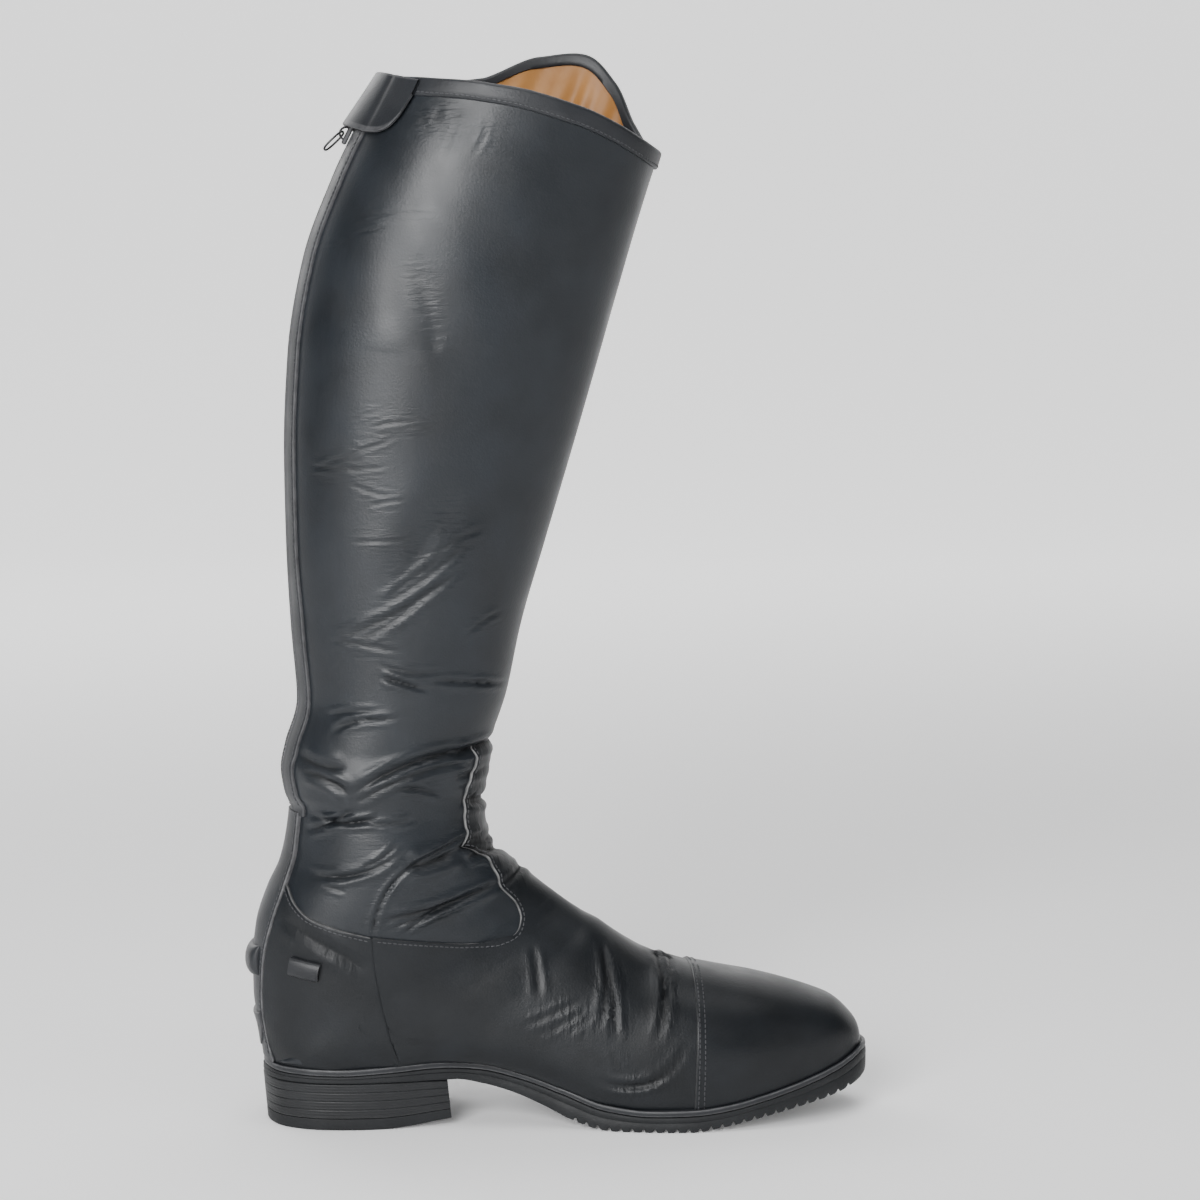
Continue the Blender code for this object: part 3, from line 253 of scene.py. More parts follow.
# Creases as they show from the side: start, middle and end of each, its width and its depth.
Crease = namedtuple("Crease", "x1 z1 x2 z2 x3 z3 width depth")
CREASES = [
    Crease(31, 473, 43, 478, 58, 479, 0.7, 0.9),
    Crease(31, 470, 44, 475, 62, 479, 0.8, 0.5),
    Crease(63, 479, 64, 469, 57, 459, 0.8, 0.5),
    Crease(52, 477, 49, 468, 45, 458, 0.8, 0.4),
    Crease(7, 432, 18, 434, 45, 433, 0.6, 0.3),
    Crease(4, 424, 12, 426, 21, 427, 0.6, 0.4),
    Crease(-12, 420, -4, 420, 4, 421, 0.6, 0.3),
    Crease(27, 418, 39, 388, 40, 364, 9.0, 1.1),
    Crease(-0, 337, 8, 341, 17, 343, 0.6, 0.4),
    Crease(11, 335, 24, 338, 38, 336, 0.7, 0.6),
    Crease(25, 335, 33, 336, 42, 335, 0.7, 0.6),
    Crease(2, 324, 13, 327, 24, 332, 0.7, 0.5),
    Crease(-19, 318, -0, 316, 21, 318, 0.8, 0.7),
    Crease(-17, 315, -0, 322, 14, 327, 0.8, 0.5),
    Crease(-0, 310, 11, 306, 21, 303, 0.7, 0.5),
    Crease(9, 299, 19, 301, 28, 302, 0.7, 0.6),
    Crease(0, 282, 17, 283, 34, 283, 0.8, 0.6),
    Crease(17, 252, 36, 282, 56, 307, 8.0, 1.3),
    Crease(13, 250, 34, 264, 61, 285, 1.5, 1.0),
    Crease(-7, 235, 26, 251, 58, 273, 1.6, 1.5),
    Crease(-3, 232, 20, 244, 36, 256, 1.4, 1.1),
    Crease(15, 254, 30, 265, 49, 279, 1.2, 0.9),
    Crease(40, 276, 51, 283, 65, 289, 1.2, 0.6),
    Crease(-9, 235, 7, 234, 27, 230, 1.0, 0.7),
    Crease(13, 226, 29, 221, 47, 222, 1.0, 0.6),
    Crease(15, 219, 25, 216, 39, 212, 1.1, 1.0),
    Crease(55, 237, 64, 244, 74, 248, 1.0, 0.7),
    Crease(39, 217, 57, 215, 79, 212, 1.1, 0.7),
    Crease(-8, 191, 6, 198, 28, 198, 1.1, 0.8),
    Crease(-10, 199, 2, 202, 16, 202, 1.0, 0.5),
    Crease(-24, 181, -14, 176, -0, 176, 2.2, 1.2),
    Crease(1, 162, 31, 178, 67, 181, 1.9, 1.7),
    Crease(-23, 173, -9, 169, 1, 162, 1.8, 1.5),
    Crease(1, 157, 30, 172, 61, 176, 1.3, 1.0),
    Crease(-18, 151, -1, 149, 16, 153, 1.2, 1.2),
    Crease(-20, 143, -8, 149, 4, 156, 1.2, 1.0),
    Crease(5, 150, 19, 149, 32, 151, 1.0, 0.6),
    Crease(20, 165, 33, 165, 46, 160, 1.1, 0.7),
    Crease(-20, 124, 4, 125, 26, 137, 1.3, 1.0),
    Crease(4, 128, 14, 132, 24, 140, 1.0, 0.7),
    Crease(-13, 119, -7, 118, -1, 116, 0.9, 0.5),
    Crease(54, 138, 59, 139, 65, 139, 1.4, 1.4),
    Crease(53, 136, 63, 133, 75, 128, 1.5, 1.6),
    Crease(26, 128, 39, 130, 54, 135, 2.4, 2.0),
    Crease(15, 103, 42, 108, 82, 120, 1.5, 1.4),
    Crease(17, 98, 38, 105, 58, 112, 1.2, 1.1),
    Crease(25, 96, 34, 102, 46, 109, 1.0, 0.8),
    Crease(57, 156, 61, 155, 69, 154, 1.6, 1.1),
    Crease(-31, 103, -17, 94, 8, 81, 2.4, 0.5),
    Crease(-17, 93, -2, 85, 8, 78, 2.4, 0.5),
    Crease(87, 88, 89, 76, 90, 62, 1.3, 0.6),
    Crease(120, 88, 122, 69, 118, 49, 1.2, 1.1),
    Crease(123, 82, 125, 62, 125, 42, 1.2, 1.2),
    Crease(147, 81, 150, 63, 144, 41, 1.3, 1.1),
    Crease(156, 75, 153, 71, 150, 65, 1.2, 0.7),
    Crease(117, 25, 144, 25, 160, 44, 1.3, 0.9),
    Crease(121, 22, 138, 22, 150, 28, 1.1, 0.6),
    Crease(81, 50, 95, 56, 110, 62, 1.0, 0.6),
    Crease(87, 45, 102, 52, 113, 57, 1.0, 0.5),
    Crease(100, 46, 110, 52, 118, 57, 0.9, 0.5),
    Crease(124, 41, 126, 34, 128, 25, 0.9, 0.4),
    Crease(50, 179, 60, 182, 74, 184, 1.8, 1.6),
    Crease(54, 158, 60, 157, 72, 156, 2.0, 1.4),
    Crease(50, 168, 58, 170, 70, 172, 1.4, 0.7),
    Crease(52, 134, 60, 136, 76, 134, 1.8, 1.8),
    Crease(55, 130, 64, 131, 80, 128, 1.5, 1.3),
    Crease(70, 112, 80, 119, 92, 124, 1.6, 0.9),
]

# Groove that the gusset's seam pulls into the leather, in three strokes that run into each other
GUSSET_GROOVE = [
    Crease(59, 142, 46, 136.4, 30, 128.4, 0.9, 0.75),
    Crease(44, 135.6, 26.4, 126, 15.5, 113, 0.9, 0.75),
    Crease(24, 123.8, 14.6, 110, 10.9, 92, 0.9, 0.75),
]

# How strongly creases are laid in, how far fine wrinkles spread round them, how much lower they lie
# on the outer side, the crease depth that gets the darkest painted shade, and the width from which a fold
# gets no painted shade
CREASE_GAIN, CREASE_SPREAD, OUTER_DROP, DARKEST_DEPTH, BROAD_FOLD = 1.45, 6.0, 7.0, 1.4, 5.0

# Creases of the calf are softer than those of the ankle by this share, from one height to the other
CALF_SOFTER, CALF_FROM, CALF_FULL = 0.42, 215.0, 236.0

# Foot of the zip flap as row numbers, by the place around from its medial end to the back seam
FlapFoot = namedtuple("FlapFoot", "around row")
FLAP_TOP = 0.96
FLAP_FOOT = [
    FlapFoot(0.765, 1.10),
    FlapFoot(0.775, 1.33),
    FlapFoot(0.79, 1.44),
    FlapFoot(0.82, 1.505),
    FlapFoot(0.86, 1.52),
    FlapFoot(1.00, 1.50),
]
SNAP_RADIUS, SNAP_RISE, SNAP_SEAT, SNAP_ROW, SNAP_AROUND = 4.2, 1.6, 3.4, 1.22, -0.82

# Grids of the leg, vamp and counters: row numbers, counts, and shares of the throat seam's length
ANKLE_ROW, SHAFT_FOOT = 8.2, 23.5
TONGUE_TOP, TONGUE_TUCK = 8.75, 0.5
VAMP_LINES = 260
VAMP_KNEE, VAMP_RIDGE, THROAT_ROW = 0.18, 0.5, 27.0
COUNTER_LINES, COUNTER_BACK, COUNTER_FRONT = 120, 21.3, 25.3

# Lining: waves round the collar, their height, the depth below the collar where they are strongest
# and how far they spread, and how far the lining stays behind the creases below them
PUCKERS, PUCKER_RISE, PUCKER_DEPTH, PUCKER_SPREAD = 75.0, 0.7, 18.0, 12.0
LINING_CLEAR = 0.8
SIDE_NAMES = {MEDIAL: "medial", LATERAL: "lateral"}

Light = namedtuple("Light", "name x y z width height watts")
GRADIENT = ("TexCoord", "SeparateXYZ", "MapRange")
SKY_LOW, SKY_HIGH, SKY_SEEN = 0.08, 0.75, 9.0
SWEEP_BACK, SWEEP_ROUND, SWEEP_REACH, SWEEP_GLOW = 2.6, 1.6, 9.0, (0.12, 1.0)
LIGHTS = [
    Light("key", -0.80, -1.9, 0.95, 1.0, 1.3, 76.0),
    Light("top", 0.2, -0.3, 2.6, 1.6, 1.6, 34.0),
    Light("fill", 1.9, -1.4, 0.8, 0.5, 1.0, 2.5),
    Light("back", -0.9, 1.7, 1.2, 1.0, 1.2, 9.0),
]


def smooth_columns(rows, at):
    """Monotone cubic through each column of rows, read at the row numbers in at."""
    rows = np.asarray(rows, float)
    at = np.clip(np.asarray(at, float), 0, len(rows) - 1)
    step = np.diff(rows, axis=0)
    before, after = step[:-1], step[1:]
    same = before * after > 0
    slope = np.zeros_like(rows)
    slope[0], slope[-1] = step[0], step[-1]
    slope[1:-1] = np.where(same, 2 * before * after / np.where(same, before + after, 1), 0)
    low = np.minimum(at.astype(int), len(rows) - 2)
    f = (at - low)[..., None]
    a, b, u, v = rows[low], rows[low + 1], slope[low], slope[low + 1]
    return a + f * (u + f * (3 * (b - a) - 2 * u - v + f * (u + v - 2 * (b - a))))


def through(path, count):
    """Points evenly along a smooth curve through a path: a cubic between neighbours, whose slope at
    each point is the mean slope around it."""
    points = np.asarray(path, float)
    run = np.concatenate([[0], np.cumsum(np.linalg.norm(np.diff(points, axis=0), axis=1))])
    slope = np.gradient(points, run, axis=0)
    at = np.linspace(0, run[-1], count)
    low = np.clip(np.searchsorted(run, at, side="right") - 1, 0, len(run) - 2)
    h = (run[low + 1] - run[low])[:, None]
    f = ((at - run[low]) / h[:, 0])[:, None]
    a, b, u, v = points[low], points[low + 1], slope[low] * h, slope[low + 1] * h
    return a + f * (u + f * (3 * (b - a) - 2 * u - v + f * (u + v - 2 * (b - a))))


def ease(value, start, end):
    """0 before start, 1 after end, and a smooth step between them."""
    f = np.clip((np.asarray(value, float) - start) / (end - start), 0, 1)
    return f * f * (3 - 2 * f)


def last(down, around):
    """The boot's outer face in mm. Each row of SECTIONS is a closed curve in a plane: from the front
    point its half width grows as the root of one less a power of the way left to the widest place,
    and shrinks the same way to the back seam or feather edge. down is the row number, and around
    runs from 0 in front to 1 behind on the medial side and to -1 on the lateral side."""
    down, around = np.broadcast_arrays(np.asarray(down, float), np.asarray(around, float))
    s = Section(*np.moveaxis(smooth_columns(SECTIONS, down), -1, 0))
    side = np.where(around < 0, LATERAL, MEDIAL)
    edge = np.where(side == MEDIAL, s.edge_medial, s.edge_lateral)
    wide = np.where(side == MEDIAL, s.wide_medial, s.wide_lateral)
    angle = np.clip(np.abs(around), 0, 1) * math.pi
    in_front = angle <= math.pi / 2
    power = 2 / np.where(in_front, s.front_round, s.edge_round)
    reach = np.abs(np.cos(angle)) ** power
    swell = np.clip(np.sin(angle), 0, 1) ** power
    along = np.where(in_front, s.widest * (1 - reach), s.widest + (1 - s.widest) * reach)
    half = np.where(in_front, side * s.ridge + (wide - side * s.ridge) * swell, edge + (wide - edge) * swell)
    x = s.front_x + (s.edge_x - s.front_x) * along
    z = s.front_z + (s.edge_z - s.front_z) * along
    return np.stack([x, -side * half, z], axis=-1)


def slopes_normal(down, around):
    """Unit normals of the last: the cross product of its slopes down and around."""
    small = 0.01
    down = np.clip(down, small, TOE_TIP - 0.15)
    around = np.clip(around, -1 + small, 1 - small)
    d_down = last(down + small, around) - last(down - small, around)
    d_around = last(down, around + small) - last(down, around - small)
    normal = np.cross(d_around, d_down)
    normal /= np.maximum(np.linalg.norm(normal, axis=-1, keepdims=True), 1e-9)
    steepest = np.where(down > HEEL_CORNER - 1.5, -0.35, -1.0)
    normal[..., 2] = np.maximum(normal[..., 2], steepest)
    return normal / np.maximum(np.linalg.norm(normal, axis=-1, keepdims=True), 1e-9)


def outward(down, around):
    """Unit normals of the last, the same on both sides where the two sides meet."""
    down, around = np.broadcast_arrays(np.asarray(down, float), np.asarray(around, float))
    normal = slopes_normal(down, around)
    meet = ((np.abs(around) == 1) & (down <= HEEL_CORNER)) | (down == TOE_TIP)
    normal = normal + np.where(meet[..., None], slopes_normal(down, -around), 0)
    return normal / np.maximum(np.linalg.norm(normal, axis=-1, keepdims=True), 1e-9)


def form(down, around, offset):
    """A point of the last moved out by offset mm, and by the relief of its creases."""
    down, around = np.broadcast_arrays(np.asarray(down, float), np.asarray(around, float))
    points = last(down, around)
    lift = np.asarray(offset) + relief(points, down, around)
    return points + outward(down, around) * lift[..., None]


def turned(turn):
    """Place around for a turn that runs on from 1 at the back seam to 2 at the shin."""
    return np.where(turn > 1, turn - 2, turn)


def collar_line(around):
    """Row number of the collar's cut at each place around."""
    table = np.array(COLLAR, float)
    share = np.abs(around)
    lift = smooth_columns(table, np.interp(share, table[:, 0], np.arange(len(table))))
    return 1 - np.where(np.asarray(around) < 0, lift[..., 2], lift[..., 1]) / CROWN_RISE


def rows_per_mm(down, around):
    """How many rows one mm along the leg or foot is worth."""
    small = 0.05
    span = np.linalg.norm(last(down + small, around) - last(down - small, around), axis=-1)
    return 2 * small / np.maximum(span, 1e-6)


def from_back(down, distance):
    """The place around that lies distance mm from the back seam."""
    near = 0.06
    span = np.linalg.norm(last(down, 1.0 - near) - last(down, 1.0), axis=-1)
    return 1 - near * distance / span


def from_side(x, z, side):
    """Row number and place around of what shows at x and z from the side. From there each section is
    a straight line, so the row is where the cross product of that line with the point changes sign,
    and the place around follows from the share of the line that lies in front of the point."""
    x, z = (np.asarray(v, float).ravel()[:, None] for v in (x, z))
    rows = np.linspace(0.3, TOE_TIP - 0.02, 1700)
    s = Section(*smooth_columns(SECTIONS, rows).T)
    run_x, run_z = s.edge_x - s.front_x, s.edge_z - s.front_z
    cross = run_x * (z - s.front_z) - run_z * (x - s.front_x)
    share = ((x - s.front_x) * run_x + (z - s.front_z) * run_z) / (run_x ** 2 + run_z ** 2)
    fits = (cross[:, 1:] * cross[:, :-1] <= 0) & (share[:, 1:] > -0.03) & (share[:, 1:] < 1.03)
    low = np.argmax(fits, axis=1)
    line = np.arange(len(low))
    a, b = cross[line, low], cross[line, low + 1]
    f = np.clip(a / np.where(a == b, 1, a - b), 0, 1)
    down = rows[low] + f * (rows[1] - rows[0])
    part = np.clip(share[line, low] * (1 - f) + share[line, low + 1] * f, 0, 1)
    t = Section(*smooth_columns(SECTIONS, down).T)
    ahead = np.clip(1 - part / t.widest, 0, 1) ** (t.front_round / 2)
    behind = np.clip((part - t.widest) / (1 - t.widest), 0, 1) ** (t.edge_round / 2)
    angle = np.where(part < t.widest, np.arccos(ahead), math.pi - np.arccos(behind))
    return down, side * angle / math.pi


def feather_height(x):
    """Height of the feather edge at x."""
    rows = np.array([(s.edge_x, s.edge_z) for s in SECTIONS[int(HEEL_CORNER):]])
    return smooth_columns(rows, np.interp(x, rows[:, 0], np.arange(len(rows))))[..., 1]


def sole_line(x):
    """Underside and margin of the sole at x."""
    rows = np.array(SOLE)
    found = smooth_columns(rows, np.interp(x, rows[:, 0], np.arange(len(rows))))
    return found[..., 1], found[..., 2]


def heel_floor(x):
    """Height of the heel's foot at x."""
    rows = np.array(HEEL_FLOOR)
    return np.interp(x, rows[:, 0], rows[:, 1])


def outline(stations, margin):
    """Plan of the feather edge moved out by margin mm, as medial and lateral x and y. A smooth closed
    curve goes through the feather point of every section, stations are row numbers from the heel's
    back to the toe, and the margin is laid off along the curve's normal."""
    rows = np.arange(HEEL_CORNER, TOE_TIP + 0.5)
    sides = [last(rows, np.full_like(rows, side))[:, :2] for side in (1.0, -1.0)]
    found = []
    for side, own, other in ((MEDIAL, *sides), (LATERAL, *sides[::-1])):
        knots = np.concatenate([other[2:0:-1], own, other[-2:-4:-1]])
        run = np.concatenate([[0], np.cumsum(np.linalg.norm(np.diff(knots, axis=0), axis=1))])
        slope = np.gradient(knots, run, axis=0)
        low = np.clip(np.asarray(stations - HEEL_CORNER).astype(int), 0, len(own) - 2)
        f = (stations - HEEL_CORNER - low)[:, None]
        low = low + 2
        h = (run[low + 1] - run[low])[:, None]
        a, b, u, v = knots[low], knots[low + 1], slope[low] * h, slope[low + 1] * h
        place = a + f * (u + f * (3 * (b - a) - 2 * u - v + f * (u + v - 2 * (b - a))))
        heading = u + f * (2 * (3 * (b - a) - 2 * u - v) + f * 3 * (u + v - 2 * (b - a)))
        heading /= np.linalg.norm(heading, axis=1, keepdims=True)
        out = np.stack([heading[:, 1], -heading[:, 0]], axis=1) * side
        found.append(place + out * np.broadcast_to(margin, stations.shape)[:, None])
    return found


def material(name, colour, roughness, grain, grain_size, **more):
    """Principled finish with fine grain. Noises in the boot's own coordinates change its colour and
    roughness a little, and a cell pattern with a noise drives its bump. worn is the colour where the
    piece's worn attribute is 1. creased stretches a finer bump that follows its creased attribute,
    and with it the leather is duller and painted darker, as shade in the bottom of narrow creases, by the
    crease shade attribute."""
    made = bpy.data.materials.new(name)
    made.use_nodes = True
    nodes, links = made.node_tree.nodes, made.node_tree.links
    shader = nodes["Principled BSDF"]
    place = nodes.new("ShaderNodeTexCoord")

    def noise(scale, detail, stretch=None):
        node = nodes.new("ShaderNodeTexNoise")
        node.inputs["Scale"].default_value = scale
        node.inputs["Detail"].default_value = detail
        source = place.outputs["Object"]
        if stretch:
            mapping = nodes.new("ShaderNodeMapping")
            mapping.inputs["Scale"].default_value = stretch
            mapping.inputs["Rotation"].default_value = more.get("turn", (0.0, 0.0, 0.0))
            links.new(source, mapping.inputs["Vector"])
            source = mapping.outputs["Vector"]
        links.new(source, node.inputs["Vector"])
        return node.outputs["Fac"]

    def ramp(source, low, high, from_low=0.3, from_high=0.7):
        node = nodes.new("ShaderNodeMapRange")
        node.inputs["From Min"].default_value = from_low
        node.inputs["From Max"].default_value = from_high
        node.inputs["To Min"].default_value = low
        node.inputs["To Max"].default_value = high
        links.new(source, node.inputs["Value"])
        return node.outputs["Result"]

    def mix(factor, first, second):
        node = nodes.new("ShaderNodeMix")
        node.data_type = "RGBA"
        links.new(factor, node.inputs["Factor"])
        for socket, value in ((node.inputs["A"], first), (node.inputs["B"], second)):
            if isinstance(value, tuple):
                socket.default_value = (*value, 1.0)
            else:
                links.new(value, socket)
        return node.outputs["Result"]

    def attribute(word):
        node = nodes.new("ShaderNodeAttribute")
        node.attribute_name = word
        return node.outputs["Fac"]

    def math_node(operation, first, second):
        node = nodes.new("ShaderNodeMath")
        node.operation = operation
        for socket, value in zip(node.inputs, (first, second)):
            if isinstance(value, float):
                socket.default_value = value
            else:
                links.new(value, socket)
        return node.outputs["Value"]

    shade = more.get("shade", tuple(min(1.0, c * 1.6) for c in colour))
    body = mix(ramp(noise(38, 4), 0.0, 1.0), colour, shade)
    rough = ramp(noise(55, 5), roughness - more.get("uneven", 0.06), roughness + more.get("uneven", 0.06))
    if "creased" in more:
        # Painted shade: the colour goes near black in the bottom of narrow creases
        body = mix(math_node("MULTIPLY", attribute("crease_shade"), 0.85), body, (0.0015, 0.0016, 0.0018))
        rough = math_node("ADD", rough, math_node("MULTIPLY", attribute("crease_shade"), 0.25))
    if "worn" in more:
        scuffed = math_node("MULTIPLY", attribute("worn"), ramp(noise(240, 4), 0.35, 1.0))
        body = mix(scuffed, body, more["worn"])
        rough = math_node("ADD", rough, math_node("MULTIPLY", scuffed, 0.18))
    links.new(body, shader.inputs["Base Color"])
    links.new(rough, shader.inputs["Roughness"])
    cells = nodes.new("ShaderNodeTexVoronoi")
    cells.inputs["Scale"].default_value = grain_size
    links.new(place.outputs["Object"], cells.inputs["Vector"])
    height = math_node("ADD", cells.outputs["Distance"], noise(grain_size * 0.4, 5))
    if "creased" in more:
        fine = noise(150, 3, stretch=more["creased"])
        folds = math_node("MULTIPLY", attribute("creased"), ramp(fine, 0.0, 5.0, 0.42, 0.58))
        height = math_node("ADD", height, folds)
    bump = nodes.new("ShaderNodeBump")
    bump.inputs["Strength"].default_value = grain
    bump.inputs["Distance"].default_value = more.get("bump_depth", 0.00012)
    links.new(height, bump.inputs["Height"])
    links.new(bump.outputs["Normal"], shader.inputs["Normal"])
    shader.inputs["Coat Weight"].default_value = more.get("coat", 0.0)
    shader.inputs["Coat Roughness"].default_value = 0.32
    shader.inputs["Specular IOR Level"].default_value = more.get("specular", 0.5)
    return made


def lattice(rows, columns, wrap_rows=False, wrap_columns=False, start=0):
    """Faces of a grid of points, which may close on itself either way."""
    row = np.arange(rows if wrap_rows else rows - 1)[:, None]
    column = np.arange(columns if wrap_columns else columns - 1)[None, :]
    ahead, beside = (row + 1) % rows, (column + 1) % columns
    corners = (row, column), (row, beside), (ahead, beside), (ahead, column)
    return np.stack([start + (r * columns + c).ravel() for r, c in corners], axis=1)


def rubbed(worn, creased=0.0):
    """Values for a piece's attributes: how worn it is at each point, and how creased."""
    return {"worn": worn, "creased": creased + 0 * worn}


def lay(name, finish, nodes, points, faces, marks=None, outside=False, body="boot"):
    """Object at the origin from points in mm and faces. marks are values for its attributes, and
    outside turns its faces to point out."""
    mesh = bpy.data.meshes.new(name)
    mesh.from_pydata((np.asarray(points, float).reshape(-1, 3) * MM).tolist(), [], [list(f) for f in faces])
    for word, values in (marks or {}).items():
        layer = mesh.attributes.new(word, "FLOAT", "POINT")
        layer.data.foreach_set("value", np.asarray(values, np.float32).ravel())
    work = bmesh.new()
    work.from_mesh(mesh)
    bmesh.ops.remove_doubles(work, verts=work.verts, dist=0.002 * MM)
    bmesh.ops.dissolve_degenerate(work, edges=work.edges, dist=0.0005 * MM)
    if outside:
        bmesh.ops.recalc_face_normals(work, faces=work.faces)
    work.to_mesh(mesh)
    work.free()
    mesh.materials.append(finish)
    mesh.shade_smooth()
    mesh.set_sharp_from_angle(angle=math.radians(50))
    made = bpy.data.objects.new(name, mesh)
    bpy.context.scene.collection.objects.link(made)
    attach(made, body)
    if nodes:
        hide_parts(*nodes)
    return made


def side_curve(path, side, count):
    """Row numbers and turns along a path that is given as it shows from the side. A list of paths
    gives a line that is smooth in each of them, with a corner where they meet."""
    paths = path if isinstance(path[0], list) else [path]
    lengths = [np.linalg.norm(np.diff(np.array(p), axis=0), axis=1).sum() for p in paths]
    shares = np.cumsum([0, *lengths]) / sum(lengths) * (count - 1)
    stops = np.round(shares).astype(int)
    runs = [through(p, high - low + 1) for p, low, high in zip(paths, stops, stops[1:])]
    points = np.concatenate([runs[0]] + [run[1:] for run in runs[1:]])
    down, around = from_side(points[:, 0], points[:, 1], side)
    return np.stack([down, np.where(around < 0, around + 2, around)], axis=1)


def stitches(rows):
    """One joined mesh of thread: along every curve of points and normals in rows, short rods with
    tapered ends lie at an even pitch, each six sided and four rings long."""
    radii, steps = np.array([0.45, 1.0, 1.0, 0.45]), np.array([-0.5, -0.3, 0.3, 0.5])
    turn = np.arange(6) * math.pi / 3
    points, faces = [], []
    quads = lattice(4, 6, wrap_columns=True)
    count = 0
    for line, normals in rows:
        run = np.concatenate([[0], np.cumsum(np.linalg.norm(np.diff(line, axis=0), axis=1))])
        at = np.arange(STITCH_PITCH, run[-1] - STITCH_PITCH / 2, STITCH_PITCH)
        middle, ahead, up = (
            np.stack([np.interp(at + shift, run, column[:, i]) for i in range(3)], axis=1)
            for shift, column in ((0, line), (0.5, line), (0, normals))
        )
        ahead = ahead - middle
        ahead /= np.linalg.norm(ahead, axis=1, keepdims=True)
        across = np.cross(up, ahead)
        across /= np.maximum(np.linalg.norm(across, axis=1, keepdims=True), 1e-9)
        ring = across[:, None, None] * np.cos(turn)[None, None, :, None]
        ring = ring + up[:, None, None] * np.sin(turn)[None, None, :, None] * 0.8
        ring = ring * (radii * STITCH_RADIUS)[None, :, None, None]
        along = ahead[:, None, None] * (steps * STITCH_LENGTH)[None, :, None, None]
        points.append((middle[:, None, None] + along + ring).reshape(-1, 3))
        base = count + np.arange(len(at))[:, None, None] * 24
        faces += (base + quads[None]).reshape(-1, 4).tolist()
        ends = np.stack([np.arange(6)[::-1], np.arange(18, 24)])
        faces += (base + ends[None]).reshape(-1, 6).tolist()
        count += len(at) * 24
    return np.concatenate(points), faces


def seam_row(curve, offset, shift=0.0):
    """Stitch line beside a curve of row numbers and turns, shift mm to its left over the leather."""
    down, turn = np.asarray(curve).T
    around = turned(turn)
    points, normals = form(down, around, offset + THREAD_RISE + np.zeros_like(down)), outward(down, around)
    ahead = np.gradient(points, axis=0)
    ahead /= np.maximum(np.linalg.norm(ahead, axis=1, keepdims=True), 1e-9)
    return points + np.cross(normals, ahead) * shift, normals


def relief(points, down, around):
    """How far creases lift or sink the leather at points of the last, in mm."""
    return folds(points, around)[0]


def folds(points, around):
    """Relief of every crease, how wrinkled the leather is near them, and the painted shade that darkens
    the bottom of a narrow one. A crease sinks in a narrow trough with a soft ridge on either side, and fades
    out at both ends. On the outer side the same folds lie a little lower, but the gusset's groove doesn't."""
    shape = np.shape(around)
    x, z = np.reshape(points, (-1, 3))[:, 0], np.reshape(points, (-1, 3))[:, 2]
    outer = np.ravel(around) < 0
    lowered = z + np.where(outer, OUTER_DROP * np.sin(math.pi * np.abs(np.ravel(around))), 0)
    lift, wrinkled, sunk = np.zeros((3, len(x)))
    t = np.linspace(0, 1, 9)[:, None]
    for c, z in [(c, z) for c in GUSSET_GROOVE] + [(c, lowered) for c in CREASES]:
        first, middle, final = np.array([(c.x1, c.z1), (c.x2, c.z2), (c.x3, c.z3)])
        pull = 2 * middle - (first + final) / 2
        line = (1 - t) ** 2 * first + 2 * t * (1 - t) * pull + t ** 2 * final
        reach = 5 * c.width + CREASE_SPREAD
        low, high = line.min(axis=0) - reach, line.max(axis=0) + reach
        near = np.flatnonzero((x > low[0]) & (x < high[0]) & (z > low[1]) & (z < high[1]))
        if len(near) == 0:
            continue
        here = np.stack([x[near], z[near]], axis=1)[:, None]
        run = np.diff(line, axis=0)
        share = np.clip(((here - line[:-1]) * run).sum(-1) / (run ** 2).sum(-1), 0, 1)
        gap = np.linalg.norm(here - line[:-1] - share[..., None] * run, axis=-1)
        best = gap.argmin(axis=1)
        distance = gap[np.arange(len(near)), best]
        along = (best + share[np.arange(len(near)), best]) / len(run)
        fade = ease(along, -0.02, 0.3) * (1 - ease(along, 0.7, 1.02))
        trough = np.exp(-np.sqrt(distance ** 2 + (0.2 * c.width) ** 2) / (0.8 * c.width))
        ridge = 0.40 * np.exp(-((distance - 2.3 * c.width) / (1.2 * c.width)) ** 2)
        lift[near] += CREASE_GAIN * c.depth * fade * (ridge - trough)
        wrinkled[near] += fade * np.exp(-(distance / CREASE_SPREAD) ** 2) * min(c.depth, 1.0)
        # Painted shade: the bottom of a narrow crease is darkened, the more so the deeper it is
        if c.width < BROAD_FOLD:
            narrow = np.exp(-distance / (0.7 * c.width))
            sunk[near] = np.maximum(sunk[near], fade * narrow * min(c.depth / DARKEST_DEPTH, 1.0))
    soft = 1 - CALF_SOFTER * ease(lowered, CALF_FROM, CALF_FULL)
    found = lift * soft, np.clip(wrinkled, 0, 1.4), sunk * soft
    return tuple(value.reshape(shape) for value in found)


